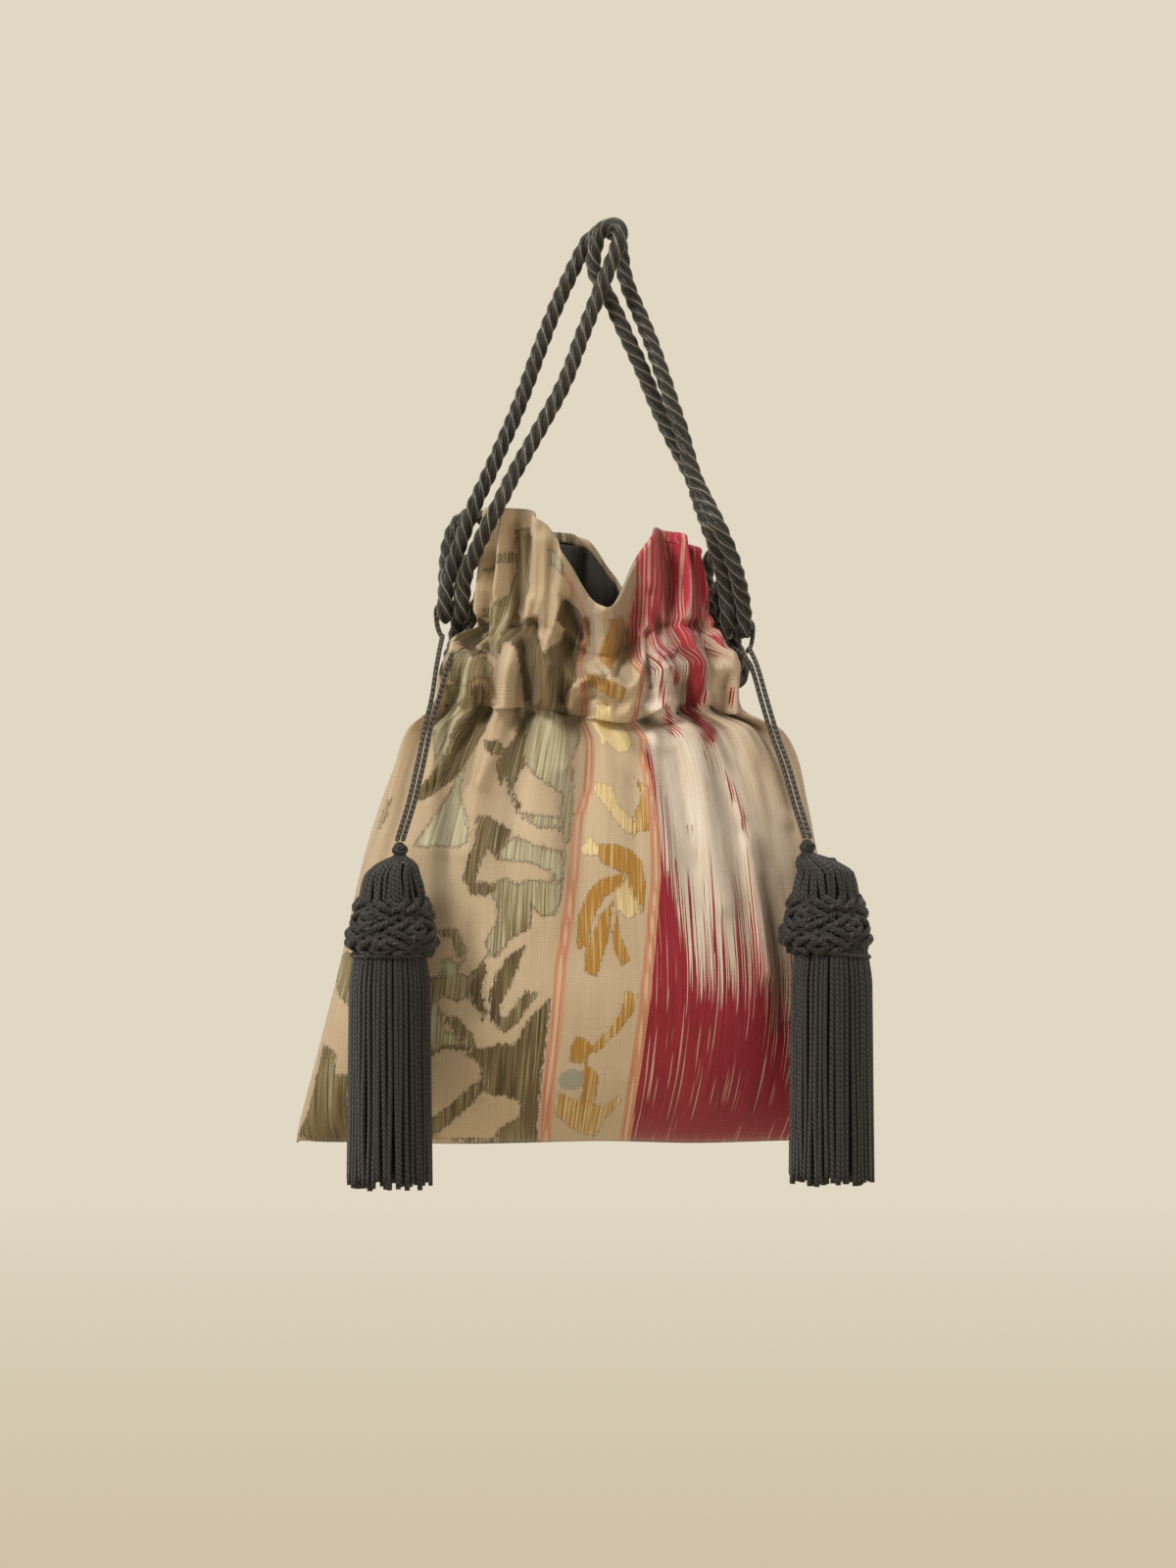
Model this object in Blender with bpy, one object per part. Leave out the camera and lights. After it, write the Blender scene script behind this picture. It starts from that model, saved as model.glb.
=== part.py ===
import math
from collections import namedtuple

import bmesh
import bpy
from mathutils import Vector

# Kinchaku pouch hung by its two rope handles. The origin is the hang point under the ropes'
# top bends, +X is to the right of the front, -Y is the front and +Z is up.

# Cloth
CLOTH_THICKNESS = 0.0012
LINING_THICKNESS = 0.0006
CLEARANCE = 0.0003
FACET_MARGIN = 0.0003

# Ropes, tassel cords and tassels
ROPE_DIAMETER = 0.0064
TASSEL_CORD_DIAMETER = 0.0020
ROPE_BEND = 0.0046
TASSEL_KNOT_DIAMETER = 0.0062
TASSEL_HEAD_DIAMETER = 0.0256
TASSEL_HEAD_LENGTH = 0.0170
TASSEL_COLLAR_DIAMETER = 0.0350
TASSEL_COLLAR_HEIGHT = 0.0200
TASSEL_COLLAR_RELIEF = 0.0011
TASSEL_BINDING_DIAMETER = 0.0018
TASSEL_SKIRT_DIAMETER = 0.0318
TASSEL_SKIRT_FLARE = 0.0012
TASSEL_SKIRT_LENGTH = 0.0940
TASSEL_SKIRT_STRANDS = 18
TASSEL_COLLAR_KNOTS = 9

# Heights, measured down from the hang point or along the cloth
CASING_DROP = 0.176
CASING_HEIGHT = 0.032
CASING_SAG = 0.009
CASING_PINCH = 0.008
SEAM_DROP = 0.370
RUFFLE_HEIGHT_LEFT = 0.046
RUFFLE_HEIGHT_RIGHT = 0.039
FRONT_DIP = 0.018
FRONT_DIP_PLACE = 0.53
FRONT_DIP_REACH = 0.36
BACK_DIP = 0.020
BACK_DIP_PLACE = 0.72
BACK_DIP_REACH = 0.30
SAG_REACH = 0.30
FRONT_LEAN = math.radians(32.0)
BACK_LEAN = math.radians(10.0)
BACK_RIM_DROP = 0.006

# The sack's outline by level: 0 is the bottom seam, 1 the lower casing stitch,
# 2 the upper casing stitch and 3 the rim. Reaches go out from the hang point's plumb line.
Level = namedtuple("Level", "at left right depth slit pleat fullness")
LEVELS = (
    Level(0.00, 0.1270, 0.1000, 0.0013, 0.0010, 0.0000, 0.90),
    Level(0.03, 0.1262, 0.1000, 0.0110, 0.0010, 0.0000, 0.90),
    Level(0.09, 0.1235, 0.1000, 0.0215, 0.0010, 0.0000, 0.90),
    Level(0.20, 0.1180, 0.0990, 0.0330, 0.0010, 0.0000, 0.90),
    Level(0.38, 0.1100, 0.0960, 0.0430, 0.0010, 0.0000, 0.90),
    Level(0.65, 0.0995, 0.0860, 0.0450, 0.0010, 0.0008, 0.90),
    Level(0.86, 0.0870, 0.0780, 0.0350, 0.0010, 0.0022, 0.90),
    Level(0.94, 0.0800, 0.0710, 0.0275, 0.0020, 0.0030, 0.85),
    Level(1.00, 0.0700, 0.0540, 0.0220, 0.0090, 0.0034, 0.75),
    Level(1.50, 0.0640, 0.0522, 0.0280, 0.0115, 0.0026, 0.70),
    Level(1.75, 0.0592, 0.0434, 0.0248, 0.0088, 0.0030, 0.84),
    Level(2.00, 0.0535, 0.0408, 0.0200, 0.0050, 0.0034, 1.00),
    Level(2.40, 0.0510, 0.0415, 0.0200, 0.0045, 0.0030, 1.30),
    Level(3.00, 0.0475, 0.0380, 0.0235, 0.0045, 0.0034, 1.30),
)
PANEL_ROWS = (0.0, 0.03, 0.09, 0.20, 0.38, 0.58, 0.78, 0.92, 1.0,
              1.25, 1.5, 1.75, 2.0, 2.33, 2.66, 3.0)
LINING_ROWS = (0.02, 0.09, 0.20, 0.38, 0.58, 0.78, 0.92, 1.0, 1.5, 2.0, 2.33, 2.66, 2.96)
LINING_SEAM = 0.04
LINING_FOOT_EASE = 0.0022
LINING_FOOT = 0.25
LINING_RIM_EASE = 0.0014
LINING_EASE = 0.0008
LINING_NOTCH = 0.13

# Where each gather stands proud, as a share of the way round a panel from its left edge
FRONT_GATHERS = (0.085, 0.198, 0.319, 0.402, 0.524, 0.662, 0.774, 0.890)
BACK_GATHERS = (0.080, 0.195, 0.330, 0.450, 0.570, 0.690, 0.810, 0.920)
COLUMNS_PER_GATHER = 4
BACK_DRAW = 0.006
ROPE_JOINT = 0.0014
CHANNEL_EASE = 0.0014
SPLINE_STEPS = 12
ROPE_TURN = math.radians(24.0)
CORD_TURN = math.radians(40.0)

# Ropes: the points that each handle goes through, from the left slit over the hang point
# to the right slit
FRONT_HANDLE = (
    (-0.0598, -0.0046, -0.1752), (-0.0626, 0.0004, -0.1712), (-0.0624, 0.0062, -0.1650),
    (-0.0612, 0.0100, -0.1560), (-0.0604, 0.0108, -0.1450), (-0.0598, 0.0108, -0.1380),
    (-0.0590, 0.0092, -0.1335), (-0.0583, 0.0056, -0.1326), (-0.0582, 0.0028, -0.1362),
    (-0.0588, 0.0021, -0.1430), (-0.0593, 0.0021, -0.1510), (-0.0593, 0.0008, -0.1543),
    (-0.0593, -0.0025, -0.1556), (-0.0592, -0.0058, -0.1543), (-0.0591, -0.0071, -0.1510),
    (-0.0581, -0.0094, -0.1410), (-0.0538, -0.0154, -0.1310), (-0.0484, -0.0204, -0.1200),
    (-0.0430, -0.0204, -0.1096), (-0.0384, -0.0180, -0.1000), (-0.0278, -0.0140, -0.0808),
    (-0.0176, -0.0118, -0.0616), (-0.0104, -0.0100, -0.0424), (-0.0064, -0.0090, -0.0320),
    (-0.0032, -0.0086, -0.0240), (0.0000, -0.0086, -0.0160), (0.0030, -0.0084, -0.0084),
    (0.0051, -0.0076, -0.0012), (0.0038, -0.0058, 0.0028), (0.0006, -0.0036, 0.0035),
    (-0.0030, -0.0018, 0.0010), (-0.0052, -0.0010, -0.0060), (-0.0058, -0.0008, -0.0125),
    (-0.0036, -0.0009, -0.0190), (-0.0004, -0.0011, -0.0240), (0.0038, -0.0013, -0.0328),
    (0.0082, -0.0010, -0.0424), (0.0128, 0.0004, -0.0520), (0.0168, 0.0010, -0.0616),
    (0.0208, 0.0012, -0.0712), (0.0252, 0.0006, -0.0808), (0.0300, -0.0006, -0.0904),
    (0.0346, -0.0030, -0.1000), (0.0372, -0.0078, -0.1096), (0.0404, -0.0148, -0.1196),
    (0.0434, -0.0156, -0.1280), (0.0462, -0.0126, -0.1370), (0.0480, -0.0090, -0.1470),
    (0.0486, -0.0071, -0.1575), (0.0486, -0.0058, -0.1608), (0.0485, -0.0025, -0.1621),
    (0.0483, 0.0008, -0.1608), (0.0480, 0.0021, -0.1575), (0.0462, 0.0023, -0.1500),
    (0.0456, 0.0040, -0.1440), (0.0466, 0.0082, -0.1420), (0.0486, 0.0112, -0.1468),
    (0.0506, 0.0112, -0.1570), (0.0520, 0.0092, -0.1670), (0.0528, 0.0038, -0.1738),
    (0.0500, -0.0040, -0.1778),
)
BACK_HANDLE = (
    (-0.0584, 0.0066, -0.1786), (-0.0628, 0.0072, -0.1768), (-0.0645, 0.0108, -0.1722),
    (-0.0622, 0.0158, -0.1655), (-0.0560, 0.0205, -0.1540), (-0.0500, 0.0234, -0.1400),
    (-0.0474, 0.0226, -0.1240), (-0.0496, 0.0180, -0.1158), (-0.0550, 0.0110, -0.1132),
    (-0.0612, 0.0050, -0.1172), (-0.0648, 0.0024, -0.1260), (-0.0660, 0.0021, -0.1380),
    (-0.0662, 0.0021, -0.1510), (-0.0662, 0.0008, -0.1543), (-0.0662, -0.0025, -0.1556),
    (-0.0662, -0.0058, -0.1543), (-0.0662, -0.0071, -0.1510),
    (-0.0652, -0.0080, -0.1420), (-0.0612, -0.0082, -0.1300), (-0.0538, -0.0072, -0.1100),
    (-0.0492, -0.0052, -0.1000), (-0.0450, -0.0036, -0.0904), (-0.0368, -0.0008, -0.0712),
    (-0.0298, 0.0012, -0.0520), (-0.0228, 0.0034, -0.0328), (-0.0162, 0.0052, -0.0176),
    (-0.0118, 0.0062, -0.0085), (-0.0084, 0.0067, -0.0022), (-0.0048, 0.0070, 0.0014),
    (-0.0006, 0.0072, 0.0030), (0.0034, 0.0073, 0.0008), (0.0054, 0.0073, -0.0048),
    (0.0064, 0.0070, -0.0128), (0.0086, 0.0058, -0.0210), (0.0134, 0.0034, -0.0328),
    (0.0172, 0.0004, -0.0424), (0.0204, -0.0026, -0.0520), (0.0236, -0.0046, -0.0616),
    (0.0266, -0.0060, -0.0712), (0.0298, -0.0072, -0.0808), (0.0324, -0.0086, -0.0904),
    (0.0352, -0.0114, -0.1000), (0.0394, -0.0172, -0.1096), (0.0448, -0.0222, -0.1210),
    (0.0496, -0.0206, -0.1320), (0.0526, -0.0162, -0.1410), (0.0546, -0.0114, -0.1490),
    (0.0556, -0.0071, -0.1575), (0.0556, -0.0058, -0.1608), (0.0555, -0.0025, -0.1621),
    (0.0553, 0.0008, -0.1608), (0.0550, 0.0021, -0.1575), (0.0538, 0.0021, -0.1480),
    (0.0522, 0.0024, -0.1380), (0.0496, 0.0050, -0.1308), (0.0450, 0.0110, -0.1290),
    (0.0414, 0.0176, -0.1340), (0.0418, 0.0222, -0.1450), (0.0462, 0.0206, -0.1580),
    (0.0526, 0.0168, -0.1680), (0.0556, 0.0122, -0.1752), (0.0538, 0.0094, -0.1812),
    (0.0480, 0.0052, -0.1822),
)

# Tassels: the middle of the ropes' two lower bends, and the top of the hanging tassel
Tassel = namedtuple("Tassel", "name bend_left bend_right pivot_y pivot_z axis_x knot_x knot_z route")
TASSELS = (
    Tassel("left", -0.0662, -0.0593, -0.0025, -0.1510, -0.0862, -0.0822, -0.2500,
           ((-0.0640, -0.0125, -0.1645, 0.0030), (-0.0650, -0.0195, -0.1700, 0.0028),
            (-0.0668, -0.0245, -0.1780, 0.0022), (-0.0690, -0.0270, -0.1890, 0.0015),
            (-0.0718, -0.0290, -0.2000, 0.0012), (-0.0748, -0.0350, -0.2160, 0.0012),
            (-0.0782, -0.0425, -0.2320, 0.0012))),
    Tassel("right", 0.0487, 0.0556, -0.0025, -0.1575, 0.0886, 0.0790, -0.2490,
           ((0.0544, -0.0066, -0.1690, 0.0030), (0.0584, -0.0122, -0.1745, 0.0014),
            (0.0602, -0.0165, -0.1800, 0.0012), (0.0628, -0.0200, -0.1900, 0.0012),
            (0.0668, -0.0240, -0.2040, 0.0012), (0.0714, -0.0310, -0.2180, 0.0012),
            (0.0754, -0.0370, -0.2330, 0.0012))),
)


def clear_scene():
    for item in list(bpy.data.objects):
        bpy.data.objects.remove(item, do_unlink=True)


def make_material(name, colour, roughness):
    material = bpy.data.materials.new(name)
    material.use_nodes = True
    shader = material.node_tree.nodes["Principled BSDF"]
    shader.inputs["Base Color"].default_value = (*colour, 1.0)
    shader.inputs["Roughness"].default_value = roughness
    shader.inputs["Metallic"].default_value = 0.0
    return material


def add_object(name, data, material):
    item = bpy.data.objects.new(name, data)
    bpy.context.scene.collection.objects.link(item)
    data.materials.append(material)
    return item


def add_mesh(name, shape, material):
    mesh = bpy.data.meshes.new(name)
    shape.to_mesh(mesh)
    shape.free()
    return add_object(name, mesh, material)


def smooth_value(knots, values, at):
    """Smooth interpolation that never overshoots its knots."""
    if at <= knots[0]:
        return values[0]
    if at >= knots[-1]:
        return values[-1]
    last = len(knots) - 1
    slopes = [(values[i + 1] - values[i]) / (knots[i + 1] - knots[i]) for i in range(last)]
    tangents = [0.0] * (last + 1)
    for i in range(1, last):
        if slopes[i - 1] * slopes[i] > 0:
            tangents[i] = 2 * slopes[i - 1] * slopes[i] / (slopes[i - 1] + slopes[i])
    tangents[0] = slopes[0]
    tangents[last] = slopes[-1]
    i = max(j for j in range(last) if knots[j] <= at)
    width = knots[i + 1] - knots[i]
    t = (at - knots[i]) / width
    return ((2 * t ** 3 - 3 * t ** 2 + 1) * values[i] + (t ** 3 - 2 * t ** 2 + t) * width * tangents[i]
            + (3 * t ** 2 - 2 * t ** 3) * values[i + 1] + (t ** 3 - t ** 2) * width * tangents[i + 1])


LEVEL_KNOTS = [level.at for level in LEVELS]


def level_value(field, at):
    return smooth_value(LEVEL_KNOTS, [getattr(level, field) for level in LEVELS], at)


def bell(share, place, reach):
    away = abs(share - place) / reach
    return math.cos(away * math.pi / 2) ** 2 if away < 1 else 0.0


def height_and_lean(at, share, front):
    """Height of the cloth at a level, and how far its ruffle leans out of the mouth."""
    sag = bell(share, FRONT_DIP_PLACE, SAG_REACH) if front else 0.0
    middle = -CASING_DROP - CASING_SAG * sag
    half = (CASING_HEIGHT - CASING_PINCH * sag) / 2
    if at <= 1:
        return -SEAM_DROP + (middle - half + SEAM_DROP) * at, 0.0
    if at <= 2:
        return middle - half + 2 * half * (at - 1), 0.0
    dip = bell(share, FRONT_DIP_PLACE, FRONT_DIP_REACH) if front else bell(share, BACK_DIP_PLACE, BACK_DIP_REACH)
    depth = FRONT_DIP if front else BACK_DIP
    rise = RUFFLE_HEIGHT_LEFT + (RUFFLE_HEIGHT_RIGHT - RUFFLE_HEIGHT_LEFT) * share - depth * dip
    rise -= 0.0 if front else BACK_RIM_DROP
    lean = math.tan(FRONT_LEAN if front else BACK_LEAN) * dip
    return middle + half + rise * (at - 2), rise * lean * (at - 2) ** 1.5


def section_point(at, way, front):
    """Point on a panel's mean section at a level: way is 0 at the left edge, 1 at the right."""
    drawn = 0.0 if front else BACK_DRAW * bell(min(at, 1.5), 1.5, 0.7)
    left = level_value("left", at) - drawn
    right = level_value("right", at) - drawn
    depth = level_value("depth", at)
    slit = level_value("slit", at)
    fullness = level_value("fullness", at)
    turn = math.pi * way
    half = (left + right) / 2
    x = (right - left) / 2 - half * math.cos(turn)
    y = -(slit + (depth - slit) * max(0.0, math.sin(turn)) ** fullness)
    return x, y


def cloth_point(at, way, gathers, front, inward=0.0, gathered=True):
    """Point on the front or back cloth, gathered and set in by the given distance."""
    step = 0.004
    before = section_point(at, max(0.0, way - step), front)
    after = section_point(at, min(1.0, way + step), front)
    along = Vector((after[0] - before[0], after[1] - before[1])).normalized()
    outward = Vector((along.y, -along.x))
    x, y = section_point(at, way, front)
    ends = min(1.0, way / 0.07, (1 - way) / 0.07)
    pleat = level_value("pleat", at) * math.cos(2 * math.pi * gather_phase(way, gathers)) if gathered else 0.0
    share = (1 - math.cos(math.pi * way)) / 2
    z, lean = height_and_lean(at, share, front)
    reach = pleat * ends - inward
    x += outward.x * reach
    y += outward.y * reach - lean
    return Vector((x, y if front else -y, z))


def gather_phase(way, gathers):
    knots = [0.0, *gathers, 1.0]
    values = [-0.5, *range(len(gathers)), len(gathers) - 0.5]
    i = max(j for j in range(len(knots) - 1) if knots[j] <= way)
    return values[i] + (values[i + 1] - values[i]) * (way - knots[i]) / (knots[i + 1] - knots[i])


def gather_columns(gathers):
    knots = [0.0, *gathers, 1.0]
    columns = [0.0]
    for i in range(len(knots) - 1):
        steps = COLUMNS_PER_GATHER // 2 if i in (0, len(knots) - 2) else COLUMNS_PER_GATHER
        columns += [knots[i] + (knots[i + 1] - knots[i]) * (j + 1) / steps for j in range(steps)]
    return columns


def add_cloth(name, rows, columns, place, thickness, material):
    """A sheet of cloth through the given places, thickened equally to both sides."""
    shape = bmesh.new()
    grid = [[shape.verts.new(place(at, way)) for way in columns] for at in rows]
    for lower, upper in zip(grid, grid[1:]):
        for i in range(len(columns) - 1):
            shape.faces.new((lower[i], lower[i + 1], upper[i + 1], upper[i]))
    item = add_mesh(name, shape, material)
    for polygon in item.data.polygons:
        polygon.use_smooth = True
    solid = item.modifiers.new("thickness", "SOLIDIFY")
    solid.thickness = thickness
    solid.offset = 0.0
    return item


def channel_share(at):
    return max(0.0, 1 - abs(at - 1.5) / 0.5)


def lining_inset(at):
    """How far the lining lies inside the mean cloth, leaving the casing open for its rope."""
    close = level_value("pleat", at) + (CLOTH_THICKNESS + LINING_THICKNESS) / 2 + CLEARANCE + LINING_EASE
    channel = ROPE_DIAMETER + CLEARANCE + CHANNEL_EASE
    open_share = channel_share(at)
    foot = LINING_FOOT_EASE * max(0.0, 1 - at / LINING_FOOT)
    rim = LINING_RIM_EASE * min(1.0, max(0.0, at - 2) / 0.33)
    return close + channel * open_share + foot + rim


def make_panels(materials):
    sides = (("front", FRONT_GATHERS, True), ("back", BACK_GATHERS, False))
    for side, gathers, front in sides:
        columns = gather_columns(gathers)
        ways = columns if front else columns[::-1]
        add_cloth(f"{side}_panel", PANEL_ROWS, ways,
                  lambda at, way: cloth_point(at, way, gathers, front),
                  CLOTH_THICKNESS, materials["brocade"])
        add_cloth(f"{side}_lining", LINING_ROWS, ways[::2],
                  lambda at, way: lining_point(at, way, gathers, front),
                  LINING_THICKNESS, materials["lining"])


def lining_point(at, way, gathers, front):
    inset = lining_inset(at)
    width = level_value("left", at) + level_value("right", at)
    margin = inset / width + LINING_NOTCH * channel_share(at)
    point = cloth_point(at, margin + (1 - 2 * margin) * way, gathers, front, inset, gathered=False)
    least = LINING_THICKNESS / 2 + CLEARANCE
    if at < LINING_SEAM or abs(point.y) < least or (point.y > 0) == front:
        point.y = -least if front else least
    return point


def casing_route(front):
    """The rope's way through its channel, between the two handle ends."""
    gathers = FRONT_GATHERS if front else BACK_GATHERS
    inset = level_value("pleat", 1.5) + CLOTH_THICKNESS / 2 + CLEARANCE + ROPE_DIAMETER / 2 + CHANNEL_EASE / 2
    ways = [0.80 - 0.60 * i / 9 for i in range(10)]
    return [cloth_point(1.5, way, gathers, front, inset + CHANNEL_EASE * abs(2 * way - 1), gathered=False)
            for way in ways]


def smooth_route(points, closed=False):
    """Fine points of a centripetal spline through the route's own points."""
    points = [Vector(point) for point in points]
    if closed:
        ring = [points[-1], *points, points[0], points[1]]
    else:
        ring = [2 * points[0] - points[1], *points, 2 * points[-1] - points[-2]]
    fine = []
    for a, b, c, d in zip(ring, ring[1:], ring[2:], ring[3:]):
        t = [0.0]
        for first, second in ((a, b), (b, c), (c, d)):
            t.append(t[-1] + max((second - first).length, 1e-6) ** 0.5)
        for i in range(SPLINE_STEPS):
            s = t[1] + (t[2] - t[1]) * i / SPLINE_STEPS
            ab = (t[1] - s) / (t[1] - t[0]) * a + (s - t[0]) / (t[1] - t[0]) * b
            bc = (t[2] - s) / (t[2] - t[1]) * b + (s - t[1]) / (t[2] - t[1]) * c
            cd = (t[3] - s) / (t[3] - t[2]) * c + (s - t[2]) / (t[3] - t[2]) * d
            abc = (t[2] - s) / (t[2] - t[0]) * ab + (s - t[0]) / (t[2] - t[0]) * bc
            bcd = (t[3] - s) / (t[3] - t[1]) * bc + (s - t[1]) / (t[3] - t[1]) * cd
            fine.append((t[2] - s) / (t[2] - t[1]) * abc + (s - t[1]) / (t[2] - t[1]) * bcd)
    if not closed:
        fine.append(ring[-2])
    return fine


def thin_route(fine, diameter, most_turn):
    """The fewest of those points that still follow every bend."""
    kept = [fine[0], fine[2]]
    turned = 0.0
    for before, here, after in zip(fine[2:], fine[3:], fine[4:-2]):
        turned += (here - before).angle(after - here, 0.0)
        if turned > most_turn or (here - kept[-1]).length > 3 * diameter:
            kept.append(here)
            turned = 0.0
    return [*kept, fine[-3], fine[-1]]


def add_tube(name, fine, diameter, material, most_turn=ROPE_TURN):
    points = thin_route(fine, diameter, most_turn)
    curve = bpy.data.curves.new(name, "CURVE")
    curve.dimensions = "3D"
    curve.bevel_depth = diameter / 2
    curve.bevel_resolution = 2
    curve.use_fill_caps = True
    spline = curve.splines.new("POLY")
    spline.points.add(len(points) - 1)
    for target, point in zip(spline.points, points):
        target.co = (*point, 1.0)
    return add_object(name, curve, material)


def shorten(fine, cut):
    """The same route with a little cut off each end."""
    fine = list(fine)
    for _ in range(2):
        left = cut
        while (fine[1] - fine[0]).length < left:
            left -= (fine[1] - fine[0]).length
            fine.pop(0)
        fine[0] = fine[0] + (fine[1] - fine[0]).normalized() * left
        fine.reverse()
    return fine


def make_ropes(materials):
    for side, handle, front in (("front", FRONT_HANDLE, True), ("back", BACK_HANDLE, False)):
        casing = casing_route(front)
        loop = smooth_route([casing[-1], *handle, *casing[:-1]], closed=True)
        free_end = (len(handle) + 1) * SPLINE_STEPS
        free = loop[:free_end + 1]
        hidden = [*loop[free_end:], loop[0]]
        add_tube(f"{side}_handle_rope", free, ROPE_DIAMETER, materials["rope"])
        add_tube(f"{side}_casing_rope", shorten(hidden, ROPE_JOINT), ROPE_DIAMETER, materials["rope"])


def tassel_front(tassel):
    """How far forward a tassel's axis hangs so that it just rests against the pouch."""
    reach = TASSEL_COLLAR_DIAMETER / 2 + TASSEL_COLLAR_RELIEF + CLEARANCE + CLOTH_THICKNESS / 2
    front = 0.0
    for at in [i * 0.02 for i in range(35)]:
        for way in [j * 0.02 for j in range(51)]:
            point = cloth_point(at, way, FRONT_GATHERS, True)
            aside = abs(point.x - tassel.axis_x)
            if aside < reach and point.z < tassel.knot_z:
                front = min(front, point.y - math.sqrt(reach ** 2 - aside ** 2))
    return front


def tassel_cord_route(tassel, front):
    """Up one leg, through both rope bends and down the other leg to the knot."""
    side = ROPE_DIAMETER / 2 + TASSEL_CORD_DIAMETER / 2 + 2 * CLEARANCE
    under = ROPE_BEND + side
    y = tassel.pivot_y
    z = tassel.pivot_z
    left = tassel.bend_left - side
    right = tassel.bend_right + side
    tuck = side * 0.62
    corner = side * 0.82
    drop = TASSEL_CORD_DIAMETER * 0.35
    legs = []
    for sign, edge in ((-1, left), (1, right)):
        bend = tassel.bend_left if sign < 0 else tassel.bend_right
        leg = [(bend + sign * corner, y, z - drop), (edge, y, z - ROPE_BEND * 0.5), (edge, y, z - ROPE_BEND * 1.1),
               (bend + sign * tuck, y - CLEARANCE, z - ROPE_BEND - side * 0.86),
               (bend, y - 4 * CLEARANCE, z - under - TASSEL_CORD_DIAMETER)]
        leg += [(x + sign * half, forward, down) for x, forward, down, half in tassel.route]
        gap = TASSEL_CORD_DIAMETER / 2 + CLEARANCE / 2
        top = tassel.knot_z + TASSEL_KNOT_DIAMETER / 2 + CLEARANCE
        leg.append((tassel.knot_x + sign * gap, front, top + CLEARANCE))
        legs.append(leg)
    inner = side * 0.4
    return [*legs[0][::-1], (tassel.bend_left - inner, y, z), (tassel.bend_right + inner, y, z), *legs[1]]


def add_turned(name, outline, segments, place, material, relief=None):
    """A closed turned solid from an outline of radius and height, with an optional relief."""
    shape = bmesh.new()
    rings = []
    for row, (radius, height) in enumerate(outline):
        if radius == 0:
            rings.append([shape.verts.new(place + Vector((0, 0, height)))])
            continue
        ring = []
        for i in range(segments):
            turn = 2 * math.pi * i / segments
            reach = radius + (relief(row, i) if relief else 0.0)
            ring.append(shape.verts.new(place + Vector((reach * math.cos(turn), reach * math.sin(turn), height))))
        rings.append(ring)
    pairs = list(zip(rings, rings[1:]))
    if len(rings[0]) > 1:
        pairs.append((rings[-1], rings[0]))
    for upper, lower in pairs:
        for i in range(segments):
            j = (i + 1) % segments
            if len(upper) == 1:
                shape.faces.new((upper[0], lower[i], lower[j]))
            elif len(lower) == 1:
                shape.faces.new((upper[j], upper[i], lower[0]))
            else:
                shape.faces.new((upper[j], upper[i], lower[i], lower[j]))
    bmesh.ops.recalc_face_normals(shape, faces=shape.faces)
    item = add_mesh(name, shape, material)
    item.data.shade_smooth()
    item.data.set_sharp_from_angle(angle=math.radians(50))
    return item


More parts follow.
